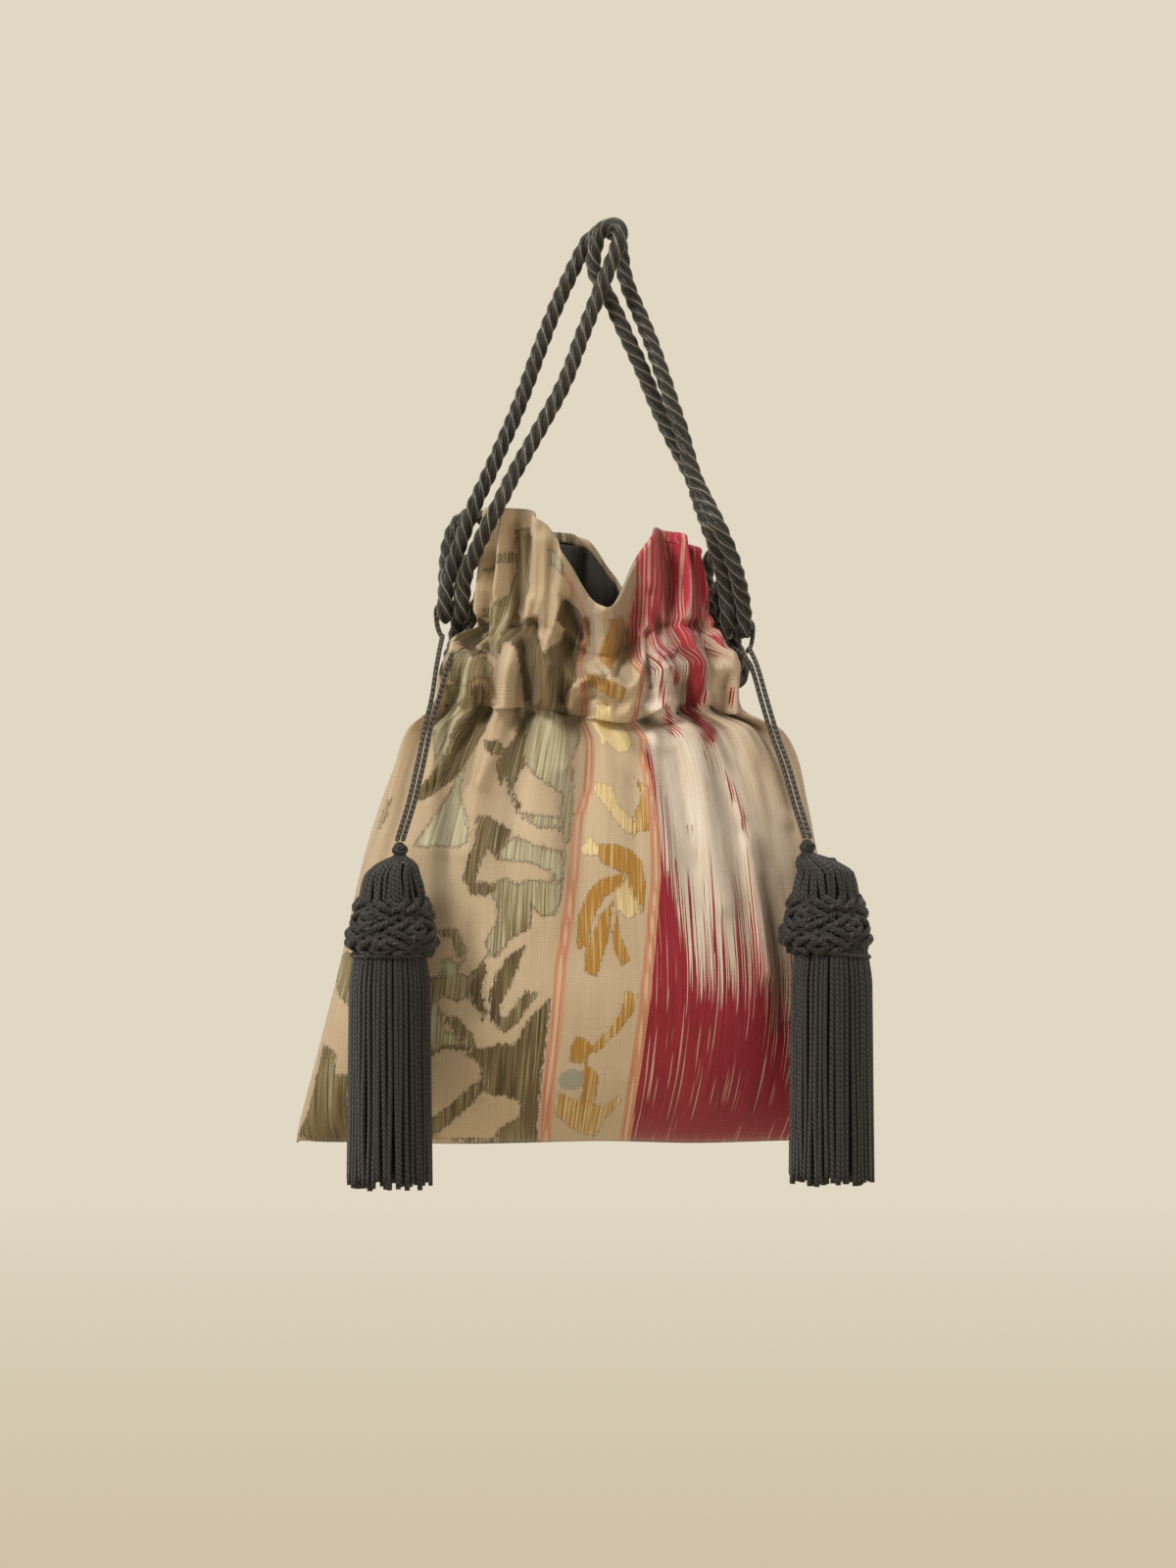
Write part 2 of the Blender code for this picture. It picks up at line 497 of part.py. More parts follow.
def make_tassel(tassel, materials):
    name = tassel.name
    silk = materials["tassel_silk"]
    front = tassel_front(tassel)
    axis = Vector((tassel.axis_x, front, 0.0))
    fine = smooth_route(tassel_cord_route(tassel, front))
    add_tube(f"tassel_cord_{name}", fine, TASSEL_CORD_DIAMETER, materials["tassel_cord"], CORD_TURN)

    knot = TASSEL_KNOT_DIAMETER / 2
    outline = [(knot * math.sin(math.pi * i / 5), knot * math.cos(math.pi * i / 5)) for i in range(6)]
    outline[0] = (0, knot)
    outline[-1] = (0, -knot)
    add_turned(f"tassel_knot_{name}", outline, 10,
               Vector((tassel.knot_x, front, tassel.knot_z)), silk)

    head = TASSEL_HEAD_DIAMETER / 2
    top = tassel.knot_z - knot - CLEARANCE
    collar_top = top - TASSEL_HEAD_LENGTH
    collar_foot = collar_top - TASSEL_COLLAR_HEIGHT
    core = head * 0.86
    outline = [(0, top), (head * 0.42, top - TASSEL_HEAD_LENGTH * 0.05),
               (head * 0.78, top - TASSEL_HEAD_LENGTH * 0.30), (head * 0.97, top - TASSEL_HEAD_LENGTH * 0.70),
               (head, collar_top + CLEARANCE), (core, collar_top), (core, collar_foot), (0, collar_foot)]
    lean = (tassel.knot_x - tassel.axis_x) * 0.5
    head_place = axis + Vector((lean * 0.5, 0, 0))
    add_turned(f"tassel_head_{name}", outline, 16, head_place, silk)

    collar = TASSEL_COLLAR_DIAMETER / 2
    bore = core + CLEARANCE + FACET_MARGIN
    rows = 5
    shares = [(j + 0.5) / rows for j in range(rows)]
    outer = [(collar * (0.93 + 0.07 * math.sin(math.pi * s)), collar_top - TASSEL_COLLAR_HEIGHT * s) for s in shares]
    outline = [(bore, collar_top - CLEARANCE), (collar * 0.80, collar_top - CLEARANCE), *outer,
               (collar * 0.84, collar_foot), (bore, collar_foot)]
    segments = TASSEL_COLLAR_KNOTS * 2

    def knots(row, i):
        worked = 2 <= row < 2 + rows
        return TASSEL_COLLAR_RELIEF * (1 if (row + i) % 2 else -1) if worked else 0.0

    add_turned(f"tassel_collar_{name}", outline, segments, head_place, silk, knots)

    skirt = TASSEL_SKIRT_DIAMETER / 2
    wire = TASSEL_BINDING_DIAMETER / 2
    skirt_top = collar_foot - CLEARANCE
    throat = skirt * 0.86
    ring = throat + CLEARANCE + FACET_MARGIN + wire
    middle = skirt_top - wire
    outline = [(ring + wire * math.cos(math.pi * i / 3), middle + wire * math.sin(math.pi * i / 3)) for i in range(6)]
    add_turned(f"tassel_binding_{name}", outline, 16, axis, silk)

    foot = skirt_top - TASSEL_SKIRT_LENGTH
    outline = [(0, skirt_top), (throat * 0.9, skirt_top), (throat, skirt_top - 2 * wire - CLEARANCE),
               (skirt, skirt_top - 0.012), (skirt + TASSEL_SKIRT_FLARE, foot), (0, foot)]

    def strands(row, i):
        return -0.0007 if i % 2 and row > 2 else 0.0

    add_turned(f"tassel_skirt_{name}", outline, TASSEL_SKIRT_STRANDS * 2, axis, silk, strands)


def main():
    clear_scene()
    materials = {
        "brocade": make_material("brocade", (0.48, 0.36, 0.24), 0.75),
        "lining": make_material("lining", (0.03, 0.03, 0.03), 0.7),
        "rope": make_material("rope", (0.035, 0.03, 0.026), 0.45),
        "tassel_cord": make_material("tassel_cord", (0.03, 0.027, 0.024), 0.6),
        "tassel_silk": make_material("tassel_silk", (0.03, 0.027, 0.026), 0.55),
    }
    make_panels(materials)
    make_ropes(materials)
    for tassel in TASSELS:
        make_tassel(tassel, materials)


main()
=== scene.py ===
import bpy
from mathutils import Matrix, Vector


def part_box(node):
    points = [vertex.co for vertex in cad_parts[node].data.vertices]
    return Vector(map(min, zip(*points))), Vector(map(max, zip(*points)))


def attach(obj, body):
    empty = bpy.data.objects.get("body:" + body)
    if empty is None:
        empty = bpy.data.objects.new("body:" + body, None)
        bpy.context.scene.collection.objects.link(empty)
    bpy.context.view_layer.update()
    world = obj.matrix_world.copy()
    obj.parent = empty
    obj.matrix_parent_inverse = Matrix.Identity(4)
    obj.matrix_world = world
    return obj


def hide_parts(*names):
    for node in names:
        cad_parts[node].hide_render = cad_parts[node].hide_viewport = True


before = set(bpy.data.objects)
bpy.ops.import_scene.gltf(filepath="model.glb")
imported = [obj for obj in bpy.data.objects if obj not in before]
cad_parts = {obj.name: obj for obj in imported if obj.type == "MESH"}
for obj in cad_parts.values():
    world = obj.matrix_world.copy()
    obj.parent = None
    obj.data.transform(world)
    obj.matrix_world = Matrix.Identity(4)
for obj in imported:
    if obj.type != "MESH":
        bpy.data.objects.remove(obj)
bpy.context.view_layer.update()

import math
import random

import bpy
import numpy as np
from mathutils import Matrix, Vector


# small helpers
def toLinear(hexCode):
    parts = [int(hexCode[i:i + 2], 16) / 255 for i in (1, 3, 5)]
    return tuple(c / 12.92 if c <= 0.04045 else ((c + 0.055) / 1.055) ** 2.4 for c in parts) + (1.0,)


def addNode(tree, kind, settings=None, **links):
    node = tree.nodes.new(kind)
    for name, value in (settings or {}).items():
        if isinstance(name, int) or name in node.inputs:
            node.inputs[name].default_value = value
        else:
            setattr(node, name, value)
    for name, source in links.items():
        key = int(name[2:]) if name.startswith("in") and name[2:].isdigit() else name.replace("_", " ")
        tree.links.new(source, node.inputs[key])
    return node


def newMaterial(name, roughness, specular=0.5):
    material = bpy.data.materials.new(name)
    material.use_nodes = True
    tree = material.node_tree
    shader = tree.nodes["Principled BSDF"]
    shader.inputs["Roughness"].default_value = roughness
    shader.inputs["Specular IOR Level"].default_value = specular
    return material, tree, shader


# a socket knows its own tree, so these need no tree handed to them
def mapRange(value, low, high, toLow=0.0, toHigh=1.0):
    settings = {"From Min": low, "From Max": high, "To Min": toLow, "To Max": toHigh}
    return addNode(value.id_data, "ShaderNodeMapRange", settings, Value=value).outputs["Result"]


def mathOf(operation, first, second):
    tree = first.id_data
    node = addNode(tree, "ShaderNodeMath", {"operation": operation}, in0=first)
    if isinstance(second, (int, float)):
        node.inputs[1].default_value = second
    else:
        tree.links.new(second, node.inputs[1])
    return node.outputs[0]


def mixColour(share, first, second):
    tree = (first if isinstance(share, float) else share).id_data
    node = addNode(tree, "ShaderNodeMix", {"data_type": "RGBA"})
    if isinstance(share, float):
        node.inputs[0].default_value = share
    else:
        tree.links.new(share, node.inputs[0])
    for i, value in ((6, first), (7, second)):
        if isinstance(value, str):
            node.inputs[i].default_value = toLinear(value)
        else:
            tree.links.new(value, node.inputs[i])
    return node.outputs[2]


def plus(first, second):
    return mathOf("ADD", first, second)


def times(first, second):
    return mathOf("MULTIPLY", first, second)


def streaks(coords, scale, detail=2.0, seed=0.0):
    settings = {"Location": (seed, seed * 0.7, 0), "Scale": (*scale, 1.0)}
    tree = coords.id_data
    shift = addNode(tree, "ShaderNodeMapping", settings, Vector=coords)
    return addNode(tree, "ShaderNodeTexNoise", {"Scale": 1.0, "Detail": detail}, Vector=shift.outputs[0]).outputs["Fac"]


def millimetres(tree):
    uv = addNode(tree, "ShaderNodeUVMap", {"uv_map": "UVMap"}).outputs[0]
    return addNode(tree, "ShaderNodeMapping", {"Scale": (1000, 1000, 1)}, Vector=uv).outputs[0]


def attributeOf(tree, name):
    return addNode(tree, "ShaderNodeAttribute", {"attribute_name": name}).outputs["Fac"]


def addBump(tree, shader, height, strength, distance):
    bump = addNode(tree, "ShaderNodeBump", {"Strength": strength, "Distance": distance}, Height=height)
    tree.links.new(bump.outputs[0], shader.inputs["Normal"])


# the eye and mirrors see the backdrop's own colour; everything else is lit more dimly by it
def seenDirectly(tree):
    path = addNode(tree, "ShaderNodeLightPath").outputs
    mirrored = mathOf("MAXIMUM", path["Is Glossy Ray"], path["Is Transmission Ray"])
    return mathOf("MAXIMUM", path["Is Camera Ray"], mirrored)


def makePiece(name, points, faces, uvs, material, body, fields=None):
    mesh = bpy.data.meshes.new(name)
    mesh.from_pydata([tuple(p) for p in points], [], faces)
    layer = mesh.uv_layers.new(name="UVMap")
    corner = np.empty(len(mesh.loops), dtype=np.int32)
    mesh.loops.foreach_get("vertex_index", corner)
    layer.data.foreach_set("uv", np.asarray(uvs, dtype=np.float32)[corner].ravel())
    for field, values in (fields or {}).items():
        mesh.attributes.new(field, "FLOAT", "POINT").data.foreach_set("value", np.asarray(values, dtype=np.float32))
    mesh.shade_smooth()
    mesh.materials.append(material)
    piece = bpy.data.objects.new(name, mesh)
    bpy.context.scene.collection.objects.link(piece)
    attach(piece, body)
    return piece


def gridFaces(rows, columns):
    index = np.arange(rows * columns).reshape(rows, columns)
    corners = (index[:-1, :-1], index[:-1, 1:], index[1:, 1:], index[1:, :-1])
    return np.stack(corners, axis=-1).reshape(-1, 4).tolist()


def thicken(piece, thickness):
    solid = piece.modifiers.new("thickness", "SOLIDIFY")
    solid.thickness = thickness
    solid.offset = -1.0
    with bpy.context.temp_override(object=piece, active_object=piece, selected_objects=[piece]):
        bpy.ops.object.modifier_apply(modifier=solid.name)


def pairs(numbers):
    return np.array(numbers, float).reshape(-1, 2)


# camera, light and backdrop
view = {"place": (-0.008, -1.5, -0.224), "focal": 84.4, "sensor": 36.0}
camera = bpy.data.objects.new("camera", bpy.data.cameras.new("camera"))
camera.location = view["place"]
camera.rotation_euler = (math.radians(90), 0, 0)
camera.data.lens = view["focal"]
camera.data.sensor_width = view["sensor"]
camera.data.sensor_fit = "AUTO"
bpy.context.scene.collection.objects.link(camera)
bpy.context.scene.camera = camera
bpy.context.scene.view_settings.view_transform = "Standard"

# soft key from the upper left, weak fill from the right
lamps = {
    "key": {"place": (-1.0, -1.1, 0.9), "size": 0.6, "watts": 24.0},
    "fill": {"place": (1.2, -1.1, 0.1), "size": 1.4, "watts": 4.5},
    "top": {"place": (0.1, 0.4, 1.2), "size": 1.2, "watts": 5.0},
}
for name, lamp in lamps.items():
    light = bpy.data.lights.new(name, "AREA")
    light.size = lamp["size"]
    light.energy = lamp["watts"]
    item = bpy.data.objects.new(name, light)
    item.location = lamp["place"]
    item.rotation_euler = (Vector((0, 0, -0.22)) - item.location).to_track_quat("-Z", "Y").to_euler()
    bpy.context.scene.collection.objects.link(item)

backdropColour = {"upper": "#E1D8C4", "lower": "#CDBFA5", "ambient": 0.36}
world = bpy.data.worlds.new("world")
bpy.context.scene.world = world
world.use_nodes = True
tree = world.node_tree
tree.nodes.clear()
shown = addNode(tree, "ShaderNodeBackground", {"Color": toLinear(backdropColour["upper"]), "Strength": 1.0})
ambient = addNode(tree, "ShaderNodeBackground", {"Color": toLinear("#F4EFE6"), "Strength": backdropColour["ambient"]})
blend = addNode(tree, "ShaderNodeMixShader", {}, in0=seenDirectly(tree), in1=ambient.outputs[0], in2=shown.outputs[0])
addNode(tree, "ShaderNodeOutputWorld", {}, Surface=blend.outputs[0])

# cloth
# levels: 0 bottom seam, 1 lower casing stitch, 2 upper casing stitch, 3 rim; lengths in metres
cloth = {
    "levels": (0.00, 0.03, 0.09, 0.20, 0.38, 0.65, 0.86, 0.94, 1.00, 1.50, 1.75, 2.00, 2.40, 3.00),
    "left": (.1270, .1262, .1235, .1180, .1100, .0995, .0870, .0800, .0700, .0640, .0592, .0535, .0510, .0475),
    "right": (.1000, .1000, .1000, .0990, .0960, .0860, .0780, .0710, .0540, .0522, .0434, .0408, .0415, .0380),
    "depth": (.0008, .0105, .0215, .0330, .0430, .0450, .0350, .0275, .0220, .0280, .0248, .0200, .0200, .0235),
    "slit": (.0003, .0003, .0003, .0003, .0003, .0003, .0004, .0015, .0090, .0115, .0088, .0050, .0045, .0045),
    "pleat": (0, 0, 0, 0, 0, .0008, .0022, .0030, .0036, .0030, .0032, .0036, .0034, .0040),
    "fullness": (.90, .90, .90, .90, .90, .90, .90, .85, .75, .70, .84, 1.00, 1.30, 1.30),
    "frontGathers": (0.085, 0.198, 0.319, 0.402, 0.524, 0.662, 0.774, 0.890),
    "backGathers": (0.080, 0.195, 0.330, 0.450, 0.570, 0.690, 0.810, 0.920),
    "casingDrop": 0.176, "casingHeight": 0.032, "casingSag": 0.009, "casingPinch": 0.008, "sagReach": 0.30,
    "seamDrop": 0.370, "ruffleLeft": 0.046, "ruffleRight": 0.0365,
    "frontDip": (0.024, 0.54, 0.40, 0.26), "backDip": (0.020, 0.72, 0.30, 0.30),
    "frontLean": math.radians(32.0), "backLean": math.radians(10.0), "backRimDrop": 0.006, "backDraw": 0.006,
    "endDrop": 0.010, "flatWidth": 240.0, "columns": 236, "thickness": 0.0009, "rollRadius": 0.0020, "hem": 0.0022,
    "rows": ((0.0, 0.8, 60), (0.8, 1.0, 24), (1.0, 2.0, 58), (2.0, 3.0, 40)),
}


# smooth curve through the levels that never overshoots them
def monotoneCurve(knots, values, at):
    knots, values = np.asarray(knots, float), np.asarray(values, float)
    at = np.clip(at, knots[0], knots[-1])
    widths = np.diff(knots)
    slopes = np.diff(values) / widths
    tangents = np.zeros(len(knots))
    tangents[0], tangents[-1] = slopes[0], slopes[-1]
    for i in range(1, len(knots) - 1):
        if slopes[i - 1] * slopes[i] > 0:
            tangents[i] = 2 * slopes[i - 1] * slopes[i] / (slopes[i - 1] + slopes[i])
    i = np.clip(np.searchsorted(knots, at, side="right") - 1, 0, len(widths) - 1)
    t = (at - knots[i]) / widths[i]
    return ((2 * t ** 3 - 3 * t ** 2 + 1) * values[i] + (t ** 3 - 2 * t ** 2 + t) * widths[i] * tangents[i]
            + (3 * t ** 2 - 2 * t ** 3) * values[i + 1] + (t ** 3 - t ** 2) * widths[i] * tangents[i + 1])


def levelValue(field, at):
    return monotoneCurve(cloth["levels"], cloth[field], at)


# 1 at a place, falling to 0 at its reach
def bell(share, place, reach, reachAfter=None):
    away = np.abs(share - place) / np.where(share > place, reachAfter or reach, reach)
    return np.where(away < 1, np.cos(np.minimum(away, 1) * math.pi / 2) ** 2, 0.0)


def hill(value, place, width):
    return np.exp(-((value - place) / width) ** 2)


# places on the front are read across and down from its upper left, in steps of 0.176 mm
drawing = {"step": 0.000176, "left": -0.132, "top": -0.104}
frontFolds = (  # half width and height in mm of each fold or crease, then its run
    (15, 3.4, (408, 307, 397, 450)), (12, -3, (430, 296, 446, 345)), (8, -4, (461, 291, 467, 395, 486, 480)),
    (14, 2.6, (440, 395, 425, 480, 395, 560)), (20, 4.2, (516, 318, 513, 423, 506, 500)), (8, -4, (540, 296,
    556, 390, 566, 480)), (24, 6, (596, 351, 604, 483)), (6, -3.2, (585, 300, 593, 345, 612, 395)), (9, -3,
    (560, 520, 640, 516)), (14, -4.4, (650, 345, 656, 395, 640, 480)), (12, 4.4, (672, 440, 664, 500)), (26, 5,
    (735, 289, 747, 354, 751, 411)), (7, -4.4, (705, 305, 720, 390, 747, 431)), (8, -3.6, (792, 329, 788, 394,
    768, 431)), (15, 6.6, (686, 459, 711, 423, 747, 427, 784, 463, 808, 484, 796, 516)), (8, -4.6, (701, 455,
    715, 475, 747, 500)), (15, 4.6, (816, 338, 828, 394, 816, 451)), (8, -5, (843, 329, 845, 394, 853, 455)),
    (16, 4.4, (873, 382, 873, 435, 893, 484)), (17, 5, (841, 508, 873, 516, 906, 500)), (7, -4.4, (922, 451,
    918, 492, 914, 524)), (7, 2, (912, 354, 897, 382, 877, 382)), (18, 5.2, (938, 338, 954, 402, 954, 455)), (7,
    -3.4, (981, 325, 989, 394, 981, 459)), (24, 4.8, (1003, 321, 1023, 362, 1019, 411)), (12, 2.6, (897, 411,
    914, 435)), (22, 3.6, (857, 569, 881, 593, 914, 569)), (7, -3, (832, 532, 873, 544, 922, 540)), (10, -3.4,
    (532, 81, 538, 186, 543, 274)), (18, 2.6, (485, 98, 477, 230)), (26, 5.2, (609, 120, 614, 219, 605, 329)),
    (10, -4, (648, 253, 672, 300, 690, 340)), (8, -2.8, (568, 110, 570, 241)), (22, 4.6, (926, 118, 938, 208,
    934, 289)), (12, -3.4, (853, 240, 857, 289, 873, 329)), (8, -3, (979, 151, 999, 232, 979, 297)), (8, -2.4,
    (897, 167, 893, 240, 906, 329)), (11, -3, (440, 520, 400, 600, 335, 700)), (18, 2.4, (520, 520, 495, 600,
    455, 680)), (10, -2.4, (475, 520, 455, 600, 430, 680)), (12, 1.8, (415, 530, 370, 620, 320, 700)), (10,
    -1.6, (560, 520, 545, 580, 520, 660)), (20, 1.8, (640, 520, 650, 640)), (10, -1.6, (605, 520, 590, 640)),
    (10, -1.4, (700, 520, 712, 600, 705, 700)), (24, 1.6, (770, 530, 790, 620)), (10, -1.6, (835, 540, 850,
    640)), (24, -2.2, (870, 620, 900, 740, 935, 860)), (30, 2.6, (930, 600, 985, 800, 1020, 960)), (22, -2.4,
    (1000, 510, 1075, 660, 1120, 860)), (12, 1.8, (960, 500, 1000, 600, 1060, 760)), (18, 3, (1070, 820, 1100,
    980, 1120, 1120)), (18, -2.2, (1115, 900, 1145, 1060, 1160, 1240)), (22, 2.2, (1180, 760, 1190, 1000)), (16,
    2, (1060, 540, 1120, 640, 1160, 760)), (12, 1, (330, 830, 430, 845)), (40, 1.2, (600, 800, 590, 1000)), (40,
    -1.6, (300, 900, 420, 1000, 440, 1200)),
)


# where the camera sees a point of the cloth, on the drawing of the front
def onDrawing(points):
    scale = 1.5 / (1.5 + points[..., 1])
    across = -0.008 + (points[..., 0] + 0.008) * scale
    down = -0.224 + (points[..., 2] + 0.224) * scale
    return (across - drawing["left"]) / drawing["step"], (drawing["top"] - down) / drawing["step"]


def lineDistance(u, v, places):
    best = np.full(u.shape, 1e3)
    for a, b in zip(places, places[1:]):
        run = b - a
        t = np.clip(((u - a[0]) * run[0] + (v - a[1]) * run[1]) / max(run @ run, 1e-9), 0, 1)
        best = np.minimum(best, np.hypot(u - a[0] - t * run[0], v - a[1] - t * run[1]))
    return best


# height of a row of cloth, and how far the ruffle leans out where it dips
def heightAndLean(at, share, front):
    sag = bell(share, cloth["frontDip"][1], cloth["sagReach"]) if front else 0 * share
    middle = -cloth["casingDrop"] - cloth["casingSag"] * sag
    half = (cloth["casingHeight"] - cloth["casingPinch"] * sag) / 2
    low = -cloth["seamDrop"] + (middle - half + cloth["seamDrop"]) * at
    casing = middle - half + 2 * half * (at - 1)
    depth, place, reach, reachAfter = cloth["frontDip" if front else "backDip"]
    dip = bell(share, place, reach, reachAfter)
    rise = cloth["ruffleLeft"] + (cloth["ruffleRight"] - cloth["ruffleLeft"]) * share - depth * dip
    rise = rise - (0 if front else cloth["backRimDrop"])
    lean = math.tan(cloth["frontLean" if front else "backLean"]) * dip
    up = np.maximum(0, at - 2)
    ruffle = middle + half + rise * up
    z = np.where(at <= 1, low, np.where(at <= 2, casing, ruffle))
    return z, np.where(at > 2, rise * lean * up ** 1.5, 0.0)


# level section of the pouch, half an oval from its left end to its right one
def sectionPoint(at, way, front):
    drawn = 0 if front else cloth["backDraw"] * bell(np.minimum(at, 1.5), 1.5, 0.7)
    left, right = levelValue("left", at) - drawn, levelValue("right", at) - drawn
    depth, slit = levelValue("depth", at), levelValue("slit", at)
    turn = math.pi * np.clip(way, 0, 1)
    x = (right - left) / 2 - (left + right) / 2 * np.cos(turn)
    return x, -(slit + (depth - slit) * np.maximum(0, np.sin(turn)) ** levelValue("fullness", at))


# counts the gathers along the casing
def gatherPhase(way, gathers):
    knots = [0.0, *gathers, 1.0]
    values = [-0.5, *range(len(gathers)), len(gathers) - 0.5]
    return np.interp(way, knots, values)


def softNoise(x, y, seed):
    total = 0 * x
    rng = random.Random(seed)
    for _ in range(7):
        turn, phase, wave = rng.uniform(0, math.tau), rng.uniform(0, math.tau), rng.uniform(0.6, 1.6)
        along = x * math.cos(turn) + y * math.sin(turn)
        total = total + np.sin(wave * along + phase + np.sin(0.7 * x + 0.5 * y + phase))
    return total / 3.5


# how far pleats, puckers and slack push the cloth out of its section
def clothDisplacement(at, way, front):
    gathers = cloth["frontGathers" if front else "backGathers"]
    phase = gatherPhase(way, gathers)
    seed = 3 if front else 9
    ends = np.minimum(1, np.minimum(way / 0.07, (1 - way) / 0.07))
    wave = np.cos(math.tau * phase)
    fold = wave + 0.28 * np.cos(2 * math.tau * phase + 0.6) + 0.35 * softNoise(phase * 2.2, at * 2.5, seed)
    height = levelValue("pleat", at) * fold * 1.05
    # small puckers held by the two gathering stitches
    near = hill(at, 1.0, 0.10) + hill(at, 2.0, 0.16)
    height = height + 0.0010 * near * np.cos(math.tau * phase * 3.1 + 1.5 * softNoise(phase, at, seed + 1))
    stitched = hill(at, 1.0, 0.022) + hill(at, 2.0, 0.05)
    height = height - 0.0016 * stitched
    # the channel puffs out between its stitches
    low, high = np.clip((at - 1.0) / 0.16, 0, 1), np.clip((2.0 - at) / 0.5, 0, 1)
    puff = np.sqrt(np.sin(low * math.pi / 2)) * high ** 0.6
    height = height + 0.0016 * puff * (1 + 0.6 * softNoise(phase * 2.3, 0 * at, seed + 7))
    height = height + 0.0026 * puff * softNoise(phase * 2.6, at * 3.0, seed + 2)
    # drag folds that run down from the gathers, and slack cloth lower down
    drag = np.clip((at - 0.40) / 0.6, 0, 1) ** 1.6 * (at <= 1)
    height = height + 0.0017 * drag * np.cos(math.tau * (phase * 1.55 + 0.35 * (1 - at) * (way - 0.5)) + 0.7)
    slack = np.clip(at * 6, 0, 1) * np.clip((1 - at) * 4, 0, 1)
    height = height + 0.0020 * slack * softNoise(way * 7.5, at * 3.2, seed + 3)
    height = height + 0.0005 * slack * softNoise(way * 26, at * 12, seed + 4)
    height = height + 0.0006 * np.clip(1 - at * 9, 0, 1) * softNoise(way * 30, at * 10, seed + 6)
    ruffle = np.clip((at - 2) * 2, 0, 1)
    height = height + 0.0011 * ruffle * softNoise(way * 22, at * 2.4, seed + 5)
    return height * ends


def foldHeight(across, down):
    total = np.zeros(np.shape(across))
    for width, height, run in frontFolds:
        total = total + height * 0.001 * np.exp(-(lineDistance(across, down, pairs(run)) / width) ** 2)
    return total


def foldReach(at, way, front, base, outX, outY):
    reach = clothDisplacement(at, way, front)
    if front:
        place = base + np.stack([outX * reach, outY * reach, 0 * reach], axis=-1)
        ends = np.clip(np.minimum(way, 1 - way) / 0.05, 0, 1)
        reach = reach + foldHeight(*onDrawing(place)) * ends
    # the ropes in the channel hold the cloth out
    least = -0.0016 - 0.02 * np.maximum(0, np.abs(at - 1.5) - 0.16)
    return np.where(at > 1, np.maximum(reach, least), reach)


# a point of the cloth: level, way along it from end to end, front or back
def clothPoint(at, way, front, inward=0.0, folded=True):
    step = 0.004
    ax, ay = sectionPoint(at, way - step, front)
    bx, by = sectionPoint(at, way + step, front)
    length = np.maximum(np.hypot(bx - ax, by - ay), 1e-9)
    outX, outY = (by - ay) / length, -(bx - ax) / length
    x, y = sectionPoint(at, way, front)
    share = (1 - np.cos(math.pi * np.clip(way, 0, 1))) / 2
    z, lean = heightAndLean(at, share, front)
    z = z + 0.0007 * np.clip(1 - at * 14, 0, 1) * softNoise(way * 14, 0 * way, 12)
    seed = 41 if front else 43
    up = np.clip(at - 2, 0, 1)
    z = z + up * 0.0012 * softNoise(way * 16, 0 * way, seed)
    z = z - up ** 2 * cloth["endDrop"] * np.clip((share - 0.80) / 0.2, 0, 1) ** 2
    z = z - (0.0030 + 0.0034 * softNoise(way * 19, 0 * way, seed + 1)) * hill(at, 1.13, 0.10)
    reach = 0 * way
    if folded:
        reach = foldReach(at, way, front, np.stack([x, y - lean, z], axis=-1), outX, outY)
        creases[front].append(reach)
    x = x + outX * (reach - inward)
    y = y + outY * (reach - inward) - lean
    return np.stack([x, y if front else -y, z], axis=-1)


creases = {True: [], False: []}  # how far each row of cloth stands out, front and back
spans = [np.linspace(low, high, count, endpoint=False) for low, high, count in cloth["rows"]]
levelRows = np.concatenate([*spans, [3.0]])


